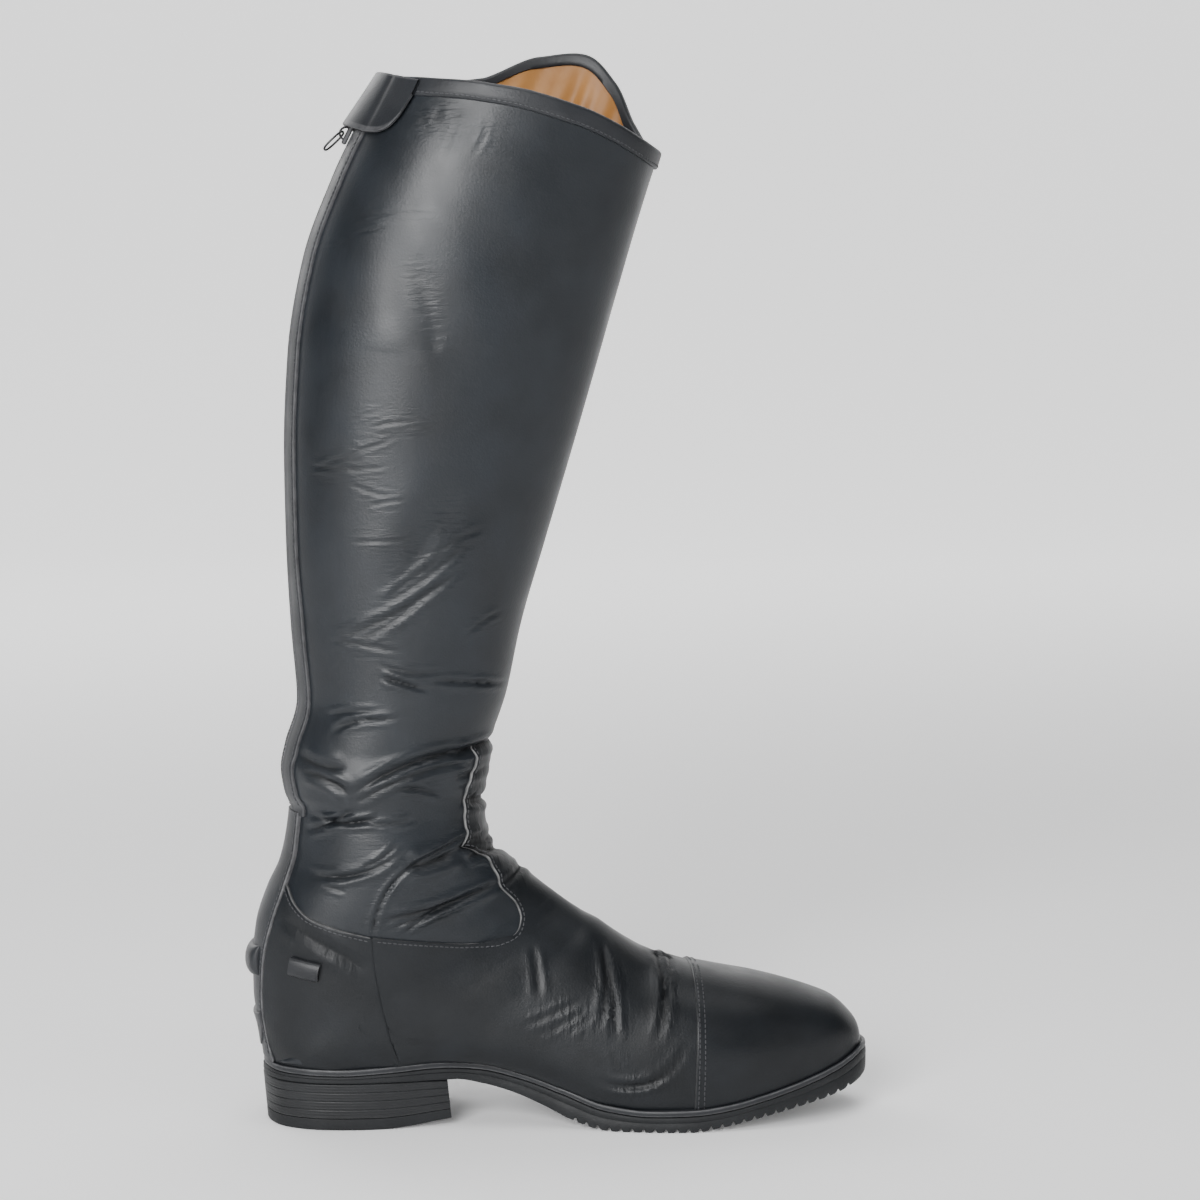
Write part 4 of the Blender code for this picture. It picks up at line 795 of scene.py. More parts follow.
def make_shaft(leather, lining):
    """Leg leather from the collar's cut to the foot, in a calf and an ankle piece that meet where the
    leather is plain, and the lining inside it. The lining puckers under the binding in two sine waves
    round the leg, which fade with depth as a bell curve."""
    around = np.linspace(-1, 1, 301)
    start = collar_line(around)[None, :]
    head = start + (CALF - start) * np.linspace(0, 1, 20)[:-1, None]
    calf = np.concatenate([head, np.linspace(CALF, ANKLE_ROW, 246)[:, None] + 0 * start])
    ankle = np.linspace(ANKLE_ROW, SHAFT_FOOT, 310)[:, None] + 0 * start
    for name, down in (("calf_leather", calf), ("ankle_leather", ankle)):
        place = around[None, :] + 0 * down
        base = last(down, place)
        hidden = ease(-base[..., 2], -86, -80) * ease(-base[..., 0], -4, 2)
        # folds also gives the painted shade in the bottom of narrow creases
        _, creased, crease_shade = folds(base, place)
        marks = {"worn": 0 * down, "creased": creased, "crease_shade": crease_shade}
        lay(name, leather, ["upper"], form(down, place, -OVERLAY * hidden),
            lattice(*down.shape), marks)
    rows = np.linspace(CALF, TOE_TIP - 0.05, 240)[:, None]
    head = start + (CALF - start) * np.linspace(0, 1, 40)[:-1, None]
    down = np.concatenate([head, rows + 0 * start])
    below = (down - start) / rows_per_mm(1.0, 0.5)
    place = around[None, :] + 0 * down
    wave = np.sin(around * PUCKERS) + 0.6 * np.sin(around * PUCKERS * 1.7 + 1.3)
    pucker = PUCKER_RISE * wave[None, :] * np.exp(-((below - PUCKER_DEPTH) / PUCKER_SPREAD) ** 2)
    inside = WALL + LINING_CLEAR * ease(below, 20, 60)
    lay("leg_lining", lining, [], form(down, place, pucker - inside),
        lattice(*down.shape)[:, ::-1], rubbed(0 * down, 0.4))


def make_vamp(leather):
    """Front of the foot with its tongue up the ankle. On each side straight lines in row number and
    place around run from the throat seam to the shin and the toe cap, and both sides meet on the
    shin's ridge."""
    for side in (MEDIAL, LATERAL):
        seam = side_curve([STRIP_SIDE, THROAT_SEAM, COUNTER_SEAM], side, VAMP_LINES)
        share = np.linspace(0, 1, VAMP_LINES)
        knee = int(VAMP_KNEE * VAMP_LINES)
        shin = np.interp(share, [0, VAMP_KNEE, 0.42, VAMP_RIDGE],
                         [seam[0, 0], seam[knee, 0], THROAT_ROW, CAP_SEAM + 0.2])
        lead = np.interp(share, [0, VAMP_RIDGE, 0.62, 0.74, 0.86, 1.0], [0, 0, 0.3, 0.62, 0.85, 1.0])
        q = np.where(seam[:, 1] > 1, 2 - seam[:, 1], seam[:, 1])
        q[-1] = 1.0
        start = np.stack([seam[:, 0], q], axis=1)
        end = np.stack([shin, lead], axis=1)
        points, worn = blister(start, end, GAP, OVERLAY, 110, side)
        worn = worn * (1 - 0.85 * ease(share, 0.5, 0.6))[None, :]
        faces = lattice(*points.shape[:2])
        # folds also gives the painted shade in the bottom of narrow creases
        _, creased, crease_shade = folds(points, np.full(worn.shape, float(side)))
        marks = {"worn": worn, "creased": creased, "crease_shade": crease_shade}
        name = f"vamp_leather_{SIDE_NAMES[side]}"
        lay(name, leather, ["vamp"], points, faces, marks, True)


def blister(start, end, inner, thickness, rows, side):
    """Overlay on one side from a rolled edge at start to a plain one at end, both given as row number
    and place around. Lines run straight in both, and the roll comes up out of the leather below."""
    run = last(end[:, 0], side * end[:, 1]) - last(start[:, 0], side * start[:, 1])
    roll = ROLL_IN[:, None] / np.maximum(np.linalg.norm(run, axis=1), 2.0)
    share = np.concatenate([roll[:-1], roll[-1] + (1 - roll[-1]) * np.linspace(0, 1, rows)[:, None]])
    lift = np.concatenate([ROLL_UP[:-1], np.ones(rows)])[:, None] + 0 * share
    grid = start[None] + (end - start)[None] * share[..., None]
    tuck = ease(grid[..., 0], TONGUE_TOP, TONGUE_TOP + 0.3)
    offset = np.where(lift < 0, -TUCK, inner + thickness * lift) * tuck - TONGUE_TUCK * (1 - tuck)
    points = form(grid[..., 0], side * grid[..., 1], offset)
    return points, np.where((lift > 0) & (lift < 0.9), 1.0, 0.0) * tuck


def coons(top, bottom, left, right, across, along):
    """Grid between four curves given as points, by adding the straight blends of both pairs and
    taking away the blend of the corners."""
    s, t = across[None, :, None], along[:, None, None]
    at = np.linspace(0, 1, len(top))
    read = [np.stack([np.interp(v, at, c[:, i]) for i in range(2)], axis=-1)
            for c, v in ((top, across), (bottom, across), (left, along), (right, along))]
    high, low, near, far = read[0][None], read[1][None], read[2][:, None], read[3][:, None]
    head = (1 - s) * high[:, :1] + s * high[:, -1:]
    foot = (1 - s) * low[:, :1] + s * low[:, -1:]
    return (1 - t) * high + t * low + (1 - s) * near + s * far - (1 - t) * head - t * foot


def rolled(count, length, first, second):
    """Shares from 0 to 1 with extra steps at a rolled edge, and the lift there."""
    roll, up = ROLL_IN / length, ROLL_UP
    low, high = (roll[-1] if first else 0.0), (1 - roll[-1] if second else 1.0)
    share, lift = np.linspace(low, high, count), np.ones(count)
    if first:
        share, lift = np.concatenate([roll[:-1], share]), np.concatenate([up[:-1], lift])
    if second:
        share, lift = np.concatenate([share, 1 - roll[-2::-1]]), np.concatenate([lift, up[-2::-1]])
    return share, lift


def relaxed(points, rounds):
    """Grid of points with each moved to the mean of its four neighbours, rounds times over, and the
    edges kept."""
    points = points.copy()
    for _ in range(rounds):
        inner = points[2:, 1:-1] + points[:-2, 1:-1] + points[1:-1, 2:] + points[1:-1, :-2]
        points[1:-1, 1:-1] = inner / 4
    return points


def make_counters(leather):
    """Rear leather on each side of the foot, between the heel strip, the throat and the side seam."""
    for side, node in ((MEDIAL, "counter_medial"), (LATERAL, "counter_lateral")):
        curves = []
        for path in (COUNTER_TOP[::-1], COUNTER_SEAM, STRIP_EDGE[3:]):
            curve = side_curve(path, side, COUNTER_LINES)
            curve[:, 1] = np.where(curve[:, 1] > 1, 2 - curve[:, 1], curve[:, 1])
            curves.append(curve)
        top, right, left = curves
        left[-1], right[-1] = (COUNTER_BACK, 1.0), (COUNTER_FRONT, 1.0)
        top[0], top[-1] = left[0], right[0]
        foot = np.linspace(COUNTER_BACK, COUNTER_FRONT, COUNTER_LINES)
        bottom = np.stack([foot, np.ones(COUNTER_LINES)], axis=1)
        across, lift_across = rolled(80, 62.0, True, True)
        along, lift_along = rolled(90, 66.0, True, False)
        grid = coons(top, bottom, left, right, across, along)
        lift = np.minimum(lift_across[None, :], lift_along[:, None])
        offset = np.where(lift < 0, -TUCK, HEEL_GAP + COUNTER_LEATHER * lift)
        place = side * grid[..., 1]
        base = last(grid[..., 0], place)
        base[4:, 4:-4] = relaxed(base[4:, 4:-4], 260)
        normal = relaxed(outward(grid[..., 0], place), 60)
        points = base + normal * (offset + relief(base, grid[..., 0], place))[..., None]
        worn = 0.8 * ((lift > 0) & (lift < 0.9)) * (np.abs(across - 0.99) > 0.012)[None, :]
        # folds also gives the painted shade in the bottom of narrow creases
        _, creased, crease_shade = folds(points, place)
        marks = {"worn": worn, "creased": creased, "crease_shade": crease_shade}
        lay(node + "_leather", leather, [node], points, lattice(*lift.shape), marks, True)


def make_toe_cap(leather):
    """Toe cap, a thicker leather whose back edge is a rolled step."""
    share, lift = rolled(120, 95.0, True, False)
    down = CAP_SEAM + (TOE_TIP - CAP_SEAM) * share
    around = np.linspace(-1, 1, 181)
    down, place = np.meshgrid(down, around, indexing="ij")
    lift = np.repeat(lift[:, None], len(around), axis=1)
    offset = np.where(lift < 0, -0.2, GAP + CAP_LEATHER * lift)
    marks = rubbed(0.22 * ((lift > 0) & (lift < 0.9)))
    lay("toe_cap_leather", leather, ["toe_cap"], form(down, place, offset),
        lattice(*down.shape), marks, True)


def make_heel_strip(trim):
    """Strip over the back seam of the foot, with its foot drawn down to the welt."""
    medial = side_curve(STRIP_EDGE, MEDIAL, 110)
    lateral = side_curve(STRIP_EDGE, LATERAL, 110)
    keep = np.minimum(medial[:, 0], lateral[:, 0]) < HEEL_CORNER - 0.05
    medial, lateral = medial[keep], lateral[keep]
    foot_m, foot_l = medial[-1].copy(), lateral[-1].copy()
    foot_m[0] = foot_l[0] = HEEL_CORNER
    medial, lateral = np.vstack([medial, foot_m]), np.vstack([lateral, foot_l])
    share, lift = rolled(41, 30.0, True, True)
    down = medial[:, None, 0] + (lateral[:, None, 0] - medial[:, None, 0]) * share
    turn = medial[:, None, 1] + (lateral[:, None, 1] - medial[:, None, 1]) * share
    offset = np.where(lift < 0, 0.0, HEEL_GAP + STRIP_LEATHER * lift) + 0 * down
    points = form(down, turned(turn), offset)
    points = np.concatenate([points[:1] + [OVERLAY, 0, 0], points, points[-1:]])
    points[-1, :, 2] = feather_height(-38.0) - 0.2
    worn = 0.6 * (np.concatenate([lift[None]] * len(points)) < 0.99)
    lay("heel_strip_leather", trim, ["heel_strip"], points,
        lattice(*points.shape[:2]), rubbed(worn), True)


def around_heel(z, distances, offset):
    """Points round the back of the heel at height z, at distances along the last from the seam."""
    rows = np.linspace(ANKLE_FOLD, HEEL_CORNER, 200)
    down = np.interp(-z, -last(rows, 1.0)[:, 2], rows)
    around = np.where(distances < 0, LATERAL, MEDIAL) * from_back(down, np.abs(distances))
    return form(down, around, offset)


def make_heel_trim(trim):
    """Spur rest, half an ellipse in section that flattens towards its ends, across the back of the
    heel, and the shield under it, whose width shrinks as the root of one less the square of its drop."""
    on_strip = HEEL_GAP + STRIP_LEATHER
    angle = np.linspace(-math.pi / 2, math.pi / 2, 31)
    across = SPUR_REST_REACH * np.sin(np.linspace(-1, 1, 49) * math.pi / 2)
    z, s = np.meshgrid(SPUR_REST_Z + SPUR_REST_HALF * np.sin(angle), across, indexing="ij")
    dome = np.sqrt(np.clip(1 - ((z - SPUR_REST_Z) / SPUR_REST_HALF) ** 2, 0, 1))
    dome = dome * np.clip(1 - (np.abs(s) / SPUR_REST_REACH) ** 6, 0, 1) ** 0.5
    points = around_heel(z, s, on_strip - 0.1 + (SPUR_REST_RISE + 1.0) * dome)
    lay("spur_rest_leather", trim, ["spur_rest"], points, lattice(*z.shape),
        rubbed(0.25 * (dome > 0.9)), True)
    drop, lift_drop = rolled(24, 17.0, True, True)
    side_share, lift_side = rolled(41, 26.0, True, True)
    half = SHIELD_HALF * np.sqrt(1 - SHIELD_TAPER * drop ** 2)
    z = SHIELD_TOP + (SHIELD_FOOT - SHIELD_TOP) * drop[:, None] + 0 * side_share
    s = half[:, None] * (2 * side_share - 1)
    lift = np.minimum(lift_drop[:, None], lift_side)
    leather = np.where(lift < 0, -0.2, (0.7 + 0.9 * (1 - drop[:, None]) ** 2) * lift)
    points = around_heel(z, s, on_strip + leather)
    lay("zip_shield_leather", trim, ["zip_shield"], points, lattice(*z.shape),
        rubbed(0.3 * (lift < 0.99)), True)


def make_keepers(trim):
    """Arched leather loops on the counters, open at both ends: a flattened half ring carried along a
    straight line, whose ends sag by the square of their distance from its middle."""
    seat = HEEL_GAP + COUNTER_LEATHER
    for node, side in (("spur_keeper_medial", MEDIAL), ("spur_keeper_lateral", LATERAL)):
        down, around = (float(v[0]) for v in from_side([KEEPER_X], [KEEPER_Z], side))
        middle, out = last(down, around), outward(down, around)
        ahead = np.array([math.cos(KEEPER_TILT), 0, math.sin(KEEPER_TILT)])
        ahead = ahead - out * (ahead @ out)
        ahead /= np.linalg.norm(ahead)
        rise = np.cross(out, ahead) * side
        angle = np.linspace(0, math.pi, 25)[None, :, None]
        step = np.linspace(-0.5, 0.5, 21)
        step = (np.sign(step) * (1 - (1 - 2 * np.abs(step)) ** 2) / 2)[:, None, None]
        sag = KEEPER_SAG * (2 * step) ** 2
        layers = []
        for leather in (0.0, KEEPER_LEATHER):
            arch = rise * (KEEPER_WIDTH / 2 - leather) * np.cos(angle)
            lift = seat - sag + (KEEPER_RISE - leather) * np.sin(angle) ** 0.6
            layers.append(middle + arch + out * lift + ahead * KEEPER_LENGTH * step)
        points = np.concatenate([layers[0], layers[1][::-1]])
        worn = np.zeros(points.shape[:2])
        worn[[0, 20, 21, 41]] = 0.4
        faces = lattice(*worn.shape, wrap_rows=True)
        lay(node + "_leather", trim, [node], points, faces, rubbed(worn), True)


def make_binding(trim):
    """Folded strip over the collar: a rounded U section, shorter inside, carried round the cut edge."""
    around = turned(np.linspace(0, 2, 421)[:-1])
    out, inside = GAP + BINDING_LEATHER, -WALL - GAP - BINDING_LEATHER
    over = np.linspace(0, math.pi, 13)
    middle, half = (out + inside) / 2, (out - inside) / 2
    profile = [(BINDING_DEPTH, 0.0), (BINDING_DEPTH, out * 0.6)]
    profile += [(BINDING_DEPTH - 0.5, out), (4.5, out + 0.1)]
    profile += [(0.6 - 1.7 * math.sin(a), middle + half * math.cos(a)) for a in over]
    profile += [(3.0, inside), (INSIDE_DEPTH - 0.5, inside)]
    profile += [(INSIDE_DEPTH, inside + 0.5), (INSIDE_DEPTH, -WALL)]
    profile = np.array(profile)
    line = collar_line(around)[:, None]
    down = line + profile[None, :, 0] * rows_per_mm(line, around[:, None])
    points = form(down, around[:, None] + 0 * down, profile[None, :, 1] + 0 * down)
    worn = np.zeros(down.shape)
    worn[:, 8:12] = 0.35
    faces = lattice(*down.shape, wrap_rows=True)
    lay("collar_binding_leather", trim, ["collar_binding"], points, faces,
        rubbed(worn), True)


def make_zip(trim, coil):
    """Zip down the back seam, its teeth a cosine wave along it that is half a pitch ahead on one
    side, and a leather facing on each side with rolled edges and one raised line."""
    top = 1 + (BINDING_DEPTH + GAP) * rows_per_mm(1.0, 1.0)
    run = np.linspace(top, ZIP_END, 4000)
    back = last(run, 1.0)
    length = np.concatenate([[0], np.cumsum(np.linalg.norm(np.diff(back, axis=0), axis=1))])
    steps = np.arange(0, length[-1], TOOTH_PITCH / 6)
    down = np.interp(steps, length, run)[:, None]
    across = np.linspace(-1, 1, 13)[None, :] * ZIP_HALF
    around = np.sign(across + 1e-9) * from_back(down, np.abs(across))
    half_turn = np.where(across > 0, 0.0, math.pi)
    teeth = 0.5 + 0.5 * np.cos(steps[:, None] * 2 * math.pi / TOOTH_PITCH + half_turn)
    coil_zone = 1 - ease(np.abs(across), 1.5, 2.1)
    points = form(down, around, GAP + 0.5 + coil_zone * (0.55 + 0.45 * teeth))
    lay("zip_teeth", coil, ["zip_chain"], points, lattice(*teeth.shape),
        rubbed(0 * teeth), True)
    share, lift = rolled(16, FACING_FAR - FACING_NEAR, True, True)
    down = np.linspace(top, ZIP_END + 0.3, 420)[:, None]
    for word, side in (("medial", MEDIAL), ("lateral", LATERAL)):
        near, far = from_back(down, FACING_NEAR), from_back(down, FACING_FAR)
        around = side * (near + (far - near) * share)
        beside = FACING_NEAR + (FACING_FAR - FACING_NEAR) * share
        ridge = 0.28 * np.exp(-((beside - FACING_RIDGE) / 1.2) ** 2)
        offset = np.where(lift < 0, -0.2, GAP + OVERLAY * lift + ridge) + 0 * down
        points = form(down + 0 * share, around, offset)
        lay(f"facing_leather_{word}", trim, [f"zip_facing_{word}"], points,
            lattice(*offset.shape), rubbed(0.35 * (lift < 0.99) + 0 * offset), True)


def make_flap(trim, metal):
    """Leather tab that wraps from the inner side round the back over the zip slider to the outer side,
    where a snap's dome holds it. It stands out from the back seam by the square of one less the square
    of the way round, and more so lower down."""
    foot = np.array(FLAP_FOOT, float)
    turn = np.linspace(foot[0, 0], 2 - foot[0, 0], 181)
    place = np.where(turn > 1, 2 - turn, turn)
    low = smooth_columns(foot, np.interp(place, foot[:, 0], np.arange(len(foot))))[:, 1]
    share, lift_down = rolled(60, 26.0, True, True)
    down = FLAP_TOP + (low - FLAP_TOP)[None, :] * share[:, None]
    behind = np.clip(1 - (np.abs(turn - 1) / 0.20) ** 2, 0, 1) ** 2
    drop = np.clip((down - FLAP_TOP) / 0.5, 0, 1.3)
    crease = 0.5 * np.exp(-((place - 0.86) / 0.012) ** 2)
    rest = 2.2 + behind * (0.6 + 3.4 * drop) - crease
    outer = np.where(lift_down[:, None] < 0, 0.2, 1.5 * lift_down[:, None])
    shell = []
    for layer in (outer, 0.0 * outer):
        shell.append(form(down, turned(turn)[None, :] + 0 * down, rest + layer))
    points = np.concatenate([shell[0], shell[1][::-1]])
    worn = np.zeros(points.shape[:2])
    worn[:5] = worn[60:68] = 0.3
    lay("zip_flap_leather", trim, ["zip_flap"], points,
        lattice(*worn.shape, wrap_rows=True), rubbed(worn, 0.2), True)
    centre = form(SNAP_ROW, SNAP_AROUND, SNAP_SEAT)
    out = outward(SNAP_ROW, SNAP_AROUND)
    side = np.cross(out, [0, 0, 1.0])
    side /= np.linalg.norm(side)
    up = np.cross(side, out)
    rings = np.linspace(0, math.pi / 2, 9)[:, None, None]
    spin = np.linspace(0, 2 * math.pi, 33)[None, :-1, None]
    ring = (side * np.cos(spin) + up * np.sin(spin)) * SNAP_RADIUS
    dome = centre + ring * np.cos(rings) + out * SNAP_RISE * np.sin(rings)
    lay("snap_dome", metal, [], dome, lattice(*dome.shape[:2], wrap_columns=True),
        rubbed(np.zeros(dome.shape[:2])), True)


def wire(name, finish, nodes, path, radius, body):
    """Closed round wire: a circle carried along a closed path of points."""
    ahead = np.roll(path, -1, axis=0) - np.roll(path, 1, axis=0)
    ahead /= np.linalg.norm(ahead, axis=1, keepdims=True)
    flat = np.cross(path[0] - path.mean(axis=0), path[len(path) // 4] - path.mean(axis=0))
    flat /= np.linalg.norm(flat)
    out = np.cross(ahead, flat)
    spin = np.linspace(0, 2 * math.pi, 13)[None, :-1, None]
    points = path[:, None] + (out[:, None] * np.cos(spin) + flat * np.sin(spin)) * radius
    faces = lattice(*points.shape[:2], wrap_rows=True, wrap_columns=True)
    lay(name, finish, nodes, points, faces, rubbed(np.zeros(points.shape[:2])), True, body)


def make_pull(metal):
    """Wire pull that hangs through the slider's bail: a rounded rectangle whose sides follow a sine
    and cosine raised to a power below one."""
    down = 1 + SLIDER_DROP * rows_per_mm(1.0, 1.0)
    here = (last(down, 0.999) + last(down, -0.999)) / 2
    along = (last(down + 0.1, 0.999) + last(down + 0.1, -0.999)) / 2 - here
    along /= np.linalg.norm(along)
    out = np.array([along[2], 0.0, -along[0]])
    top = here + out * (2 * GAP + SLIDER_BODY)
    pivot = top + out * (BAIL_RISE - GAP - PULL_WIRE)
    across = np.array([0.0, 1.0, 0.0])
    reach = np.array([-math.sin(PULL_LEAN), 0.0, -math.cos(PULL_LEAN)])
    wide = across * math.cos(PULL_TWIST) + np.cross(reach, across) * math.sin(PULL_TWIST)
    turn = np.linspace(0, 2 * math.pi, 96, endpoint=False)
    length, width = PULL_LENGTH / 2 - PULL_WIRE / 2, PULL_WIDTH / 2 - PULL_WIRE / 2
    high, side = (np.sign(v) * np.abs(v) ** PULL_SQUARENESS for v in (np.cos(turn), np.sin(turn)))
    ring = wide * width * side[:, None] - reach * length * high[:, None]
    wire("wire_pull", metal, ["zip_pull"], pivot + reach * length + ring, PULL_WIRE / 2, "zip_pull")


def make_welt(trim):
    """Welt that stands out past the upper: a section with a groove along its top, carried round the
    feather edge. The section is a share of the margin and a height in mm."""
    rows = np.linspace(HEEL_CORNER, TOE_TIP, 321)
    centre = last(rows, 1.0)[:, 0]
    margin = sole_line(centre)[1] - 0.4
    profile = np.array([
        (-1.5, 0.0), (0.0, 0.0), (0.42, 0.0), (0.52, -0.35), (0.62, 0.0), (0.9, 0.0), (1.0, -0.35),
        (1.03, -1.1), (1.03, -1.9), (1.0, -2.6), (0.94, -WELT_THICKNESS), (-1.5, -WELT_THICKNESS),
    ])
    sides = []
    for share in profile[:, 0]:
        medial, lateral = outline(rows, np.where(share < 0, 4 * share, margin * share))
        sides.append(np.concatenate([medial, lateral[-2:0:-1]]))
    plan = np.stack(sides, axis=1)
    z = feather_height(plan[..., 0]) - GAP + profile[None, :, 1]
    points = np.concatenate([plan, z[..., None]], axis=-1)
    worn = np.repeat((np.abs(profile[None, :, 0] - 1.0) < 0.02) * 0.5, len(points), axis=0)
    lay("welt_strip", trim, ["welt"], points, lattice(*worn.shape, True, True),
        rubbed(worn), True)


def make_outsole(rubber):
    """Outsole from heel seat to toe, its foot ribbed across the forefoot. At each station a closed
    section runs over the top, down one side, under and up the other. wall gives a share of the way
    down and how far the edge is drawn in there, in mm."""
    rib_end = RIB_START + RIB_COUNT * RIB_PITCH
    ribs = RIB_START + np.arange(RIB_COUNT * RIB_STEPS) * RIB_PITCH / RIB_STEPS
    heel_half, toe = np.linspace(SOLE_BACK, RIB_START, 90)[:-1], np.linspace(rib_end, SOLE_TOE, 16)
    centres = np.concatenate([heel_half, ribs, toe])
    rows = np.linspace(HEEL_CORNER, TOE_TIP, 4001)
    stations = np.interp(centres, last(rows, 1.0)[:, 0], rows)
    margin = sole_line(centres)[1]
    phase = np.mod((centres - RIB_START) / RIB_PITCH, 1.0)
    ribbed = (centres > RIB_START) & (centres < rib_end)
    groove = np.where(ribbed, RIB_DEPTH * ease(np.abs(phase - 0.8), 0.22, 0.08), 0)
    wall = np.array([
        (0.0, 0.6), (0.03, 0.15), (0.1, 0.0), (0.3, 0.0), (0.34, 0.3),
        (0.38, 0.0), (0.7, 0.0), (0.86, 0.05), (0.95, 0.25), (1.0, 0.8),
    ])
    sides = [outline(stations, margin - inset) for _, inset in wall]
    medial = np.stack([s[0] for s in sides], axis=1)
    lateral = np.stack([s[1] for s in sides], axis=1)
    share = np.linspace(0, 1, 13)[None, 1:-1, None]
    under = medial[:, -1:] + (lateral[:, -1:] - medial[:, -1:]) * share
    over = lateral[:, :1] + (medial[:, :1] - lateral[:, :1]) * share
    plan = np.concatenate([medial, under, lateral[:, ::-1], over], axis=1)
    level = np.concatenate([wall[:, 0], np.ones(under.shape[1]), wall[::-1, 0], np.zeros(over.shape[1])])
    top = feather_height(plan[..., 0]) - WELT_THICKNESS - 2 * GAP
    foot = sole_line(plan[..., 0])[0]
    depth = np.minimum(groove[:, None], (top - foot) * 0.5) * ease(level, 0.72, 0.99)
    z = top + (foot - top) * level + depth
    points = np.concatenate([plan, z[..., None]], axis=-1)
    worn = (level > 0.9) * 0.25 + 0 * z
    lay("outsole_rubber", rubber, ["outsole"], points,
        lattice(*z.shape, wrap_columns=True), rubbed(worn), True)


def make_heel(stack, rubber):
    """Leather lifts with fine lines between their layers, and a rubber top piece under them. Each is a
    closed plan drawn in to its middle above and below."""
    rows = np.linspace(HEEL_CORNER, 28, 2001)
    breast = float(np.interp(BREAST_TOP, last(rows, 1.0)[:, 0], rows))
    down = HEEL_CORNER + (breast - HEEL_CORNER) * (1 - np.cos(np.linspace(0, math.pi / 2, 60)))
    base = sole_line(last(down, 1.0)[:, 0])[1]
    joint = 1 - TOP_PIECE
    step = np.arange(LIFTS * LIFT_STEPS + 1)
    levels = np.linspace(0, joint, len(step))
    line = np.where(step % LAYER_STEPS == 0, LAYER_LINE, 0.0)
    line = np.where(step % LIFT_STEPS == 0, LIFT_LINE, line)
    foot_levels = np.array([joint + 0.004, joint + 0.012, joint + 0.05, 0.9, 0.97, 0.99, 1.0])
    foot_line = np.array([0.5, 0.1, 0.0, 0.0, 0.0, 0.2, 0.9])
    names = [f"heel_lift_{n + 1}" for n in range(LIFTS)]
    for name, nodes, finish, slot, shares, inset in (
        ("heel_stack_layers", names, stack, "heel_stack", levels, line),
        ("heel_top_rubber", ["heel_top_piece"], rubber, "sole_rubber", foot_levels, foot_line),
    ):
        rings = []
        for share, sunk in zip(shares, inset):
            medial, lateral = outline(down, base - HEEL_TAPER * share - sunk)
            front = BREAST_TOP + (BREAST_FOOT - BREAST_TOP) * share - sunk
            medial[-1, 0] = lateral[-1, 0] = front
            across = np.linspace(0, 1, 26)[1:-1, None]
            flat = medial[-1] + (lateral[-1] - medial[-1]) * across
            ring = np.concatenate([medial, flat, lateral[:0:-1]])
            seat = sole_line(ring[:, 0])[0] - GAP
            rings.append(np.column_stack([ring, seat + (heel_floor(ring[:, 0]) - seat) * share]))
        rings = np.array(rings)
        middle = rings.mean(axis=1, keepdims=True)
        caps = [middle[:1] + (rings[:1] - middle[:1]) * s for s in (0.0, 0.5)]
        feet = [middle[-1:] + (rings[-1:] - middle[-1:]) * s for s in (0.5, 0.0)]
        points = np.concatenate([*caps, rings, *feet])
        for flat, edge in ((points[:2], rings[0]), (points[-2:], rings[-1])):
            order = np.argsort(edge[:, 0])
            flat[..., 2] = np.interp(flat[..., 0], edge[order, 0], edge[order, 2])
        worn = np.zeros(points.shape[:2])
        worn[-4:] = 0.5
        faces = lattice(*worn.shape, wrap_columns=True)
        lay(name, finish, nodes, points, faces, rubbed(worn), True)


def make_thread(thread):
    """All visible stitches: rows beside the seams, over the toe cap, round the collar and down the
    facings. Each side path has its shift from the seam and the offset that it lies at."""
    rows = []
    side_paths = (
        ([STRIP_SIDE, THROAT_SEAM], EDGE_STITCH + 0.1, GAP + OVERLAY),
        (GUSSET_SEAM, -EDGE_STITCH, 0.1),
        (COUNTER_TOP, EDGE_STITCH + 0.2, HEEL_GAP + COUNTER_LEATHER),
        (STRIP_EDGE, -EDGE_STITCH, HEEL_GAP + STRIP_LEATHER),
    )
    for side in (MEDIAL, LATERAL):
        for path, shift, offset in side_paths:
            curve = side_curve(path, side, 200)
            rows.append(seam_row(curve, offset, shift * side))
        q = side * np.linspace(0.01, 0.99, 160)
        for distance in CAP_STITCHES:
            step = distance * rows_per_mm(CAP_SEAM, 0.5)
            line = np.stack([np.full(160, CAP_SEAM) + step, q], axis=1)
            rows.append(seam_row(line, GAP + CAP_LEATHER))
        around = side * np.linspace(0.0, 0.995, 260)
        line = collar_line(around)
        line = line + (BINDING_DEPTH - EDGE_STITCH - 0.1) * rows_per_mm(line, around)
        rows.append(seam_row(np.stack([line, around], axis=1), GAP + BINDING_LEATHER))
        down = np.linspace(1.25, ZIP_END, 300)
        for distance in (5.2, FACING_FAR - EDGE_STITCH):
            line = np.stack([down, side * from_back(down, distance)], axis=1)
            rows.append(seam_row(line, GAP + OVERLAY))
    points, faces = stitches(rows)
    lay("thread_rows", thread, [], points, faces, rubbed(np.zeros(len(points))), True)


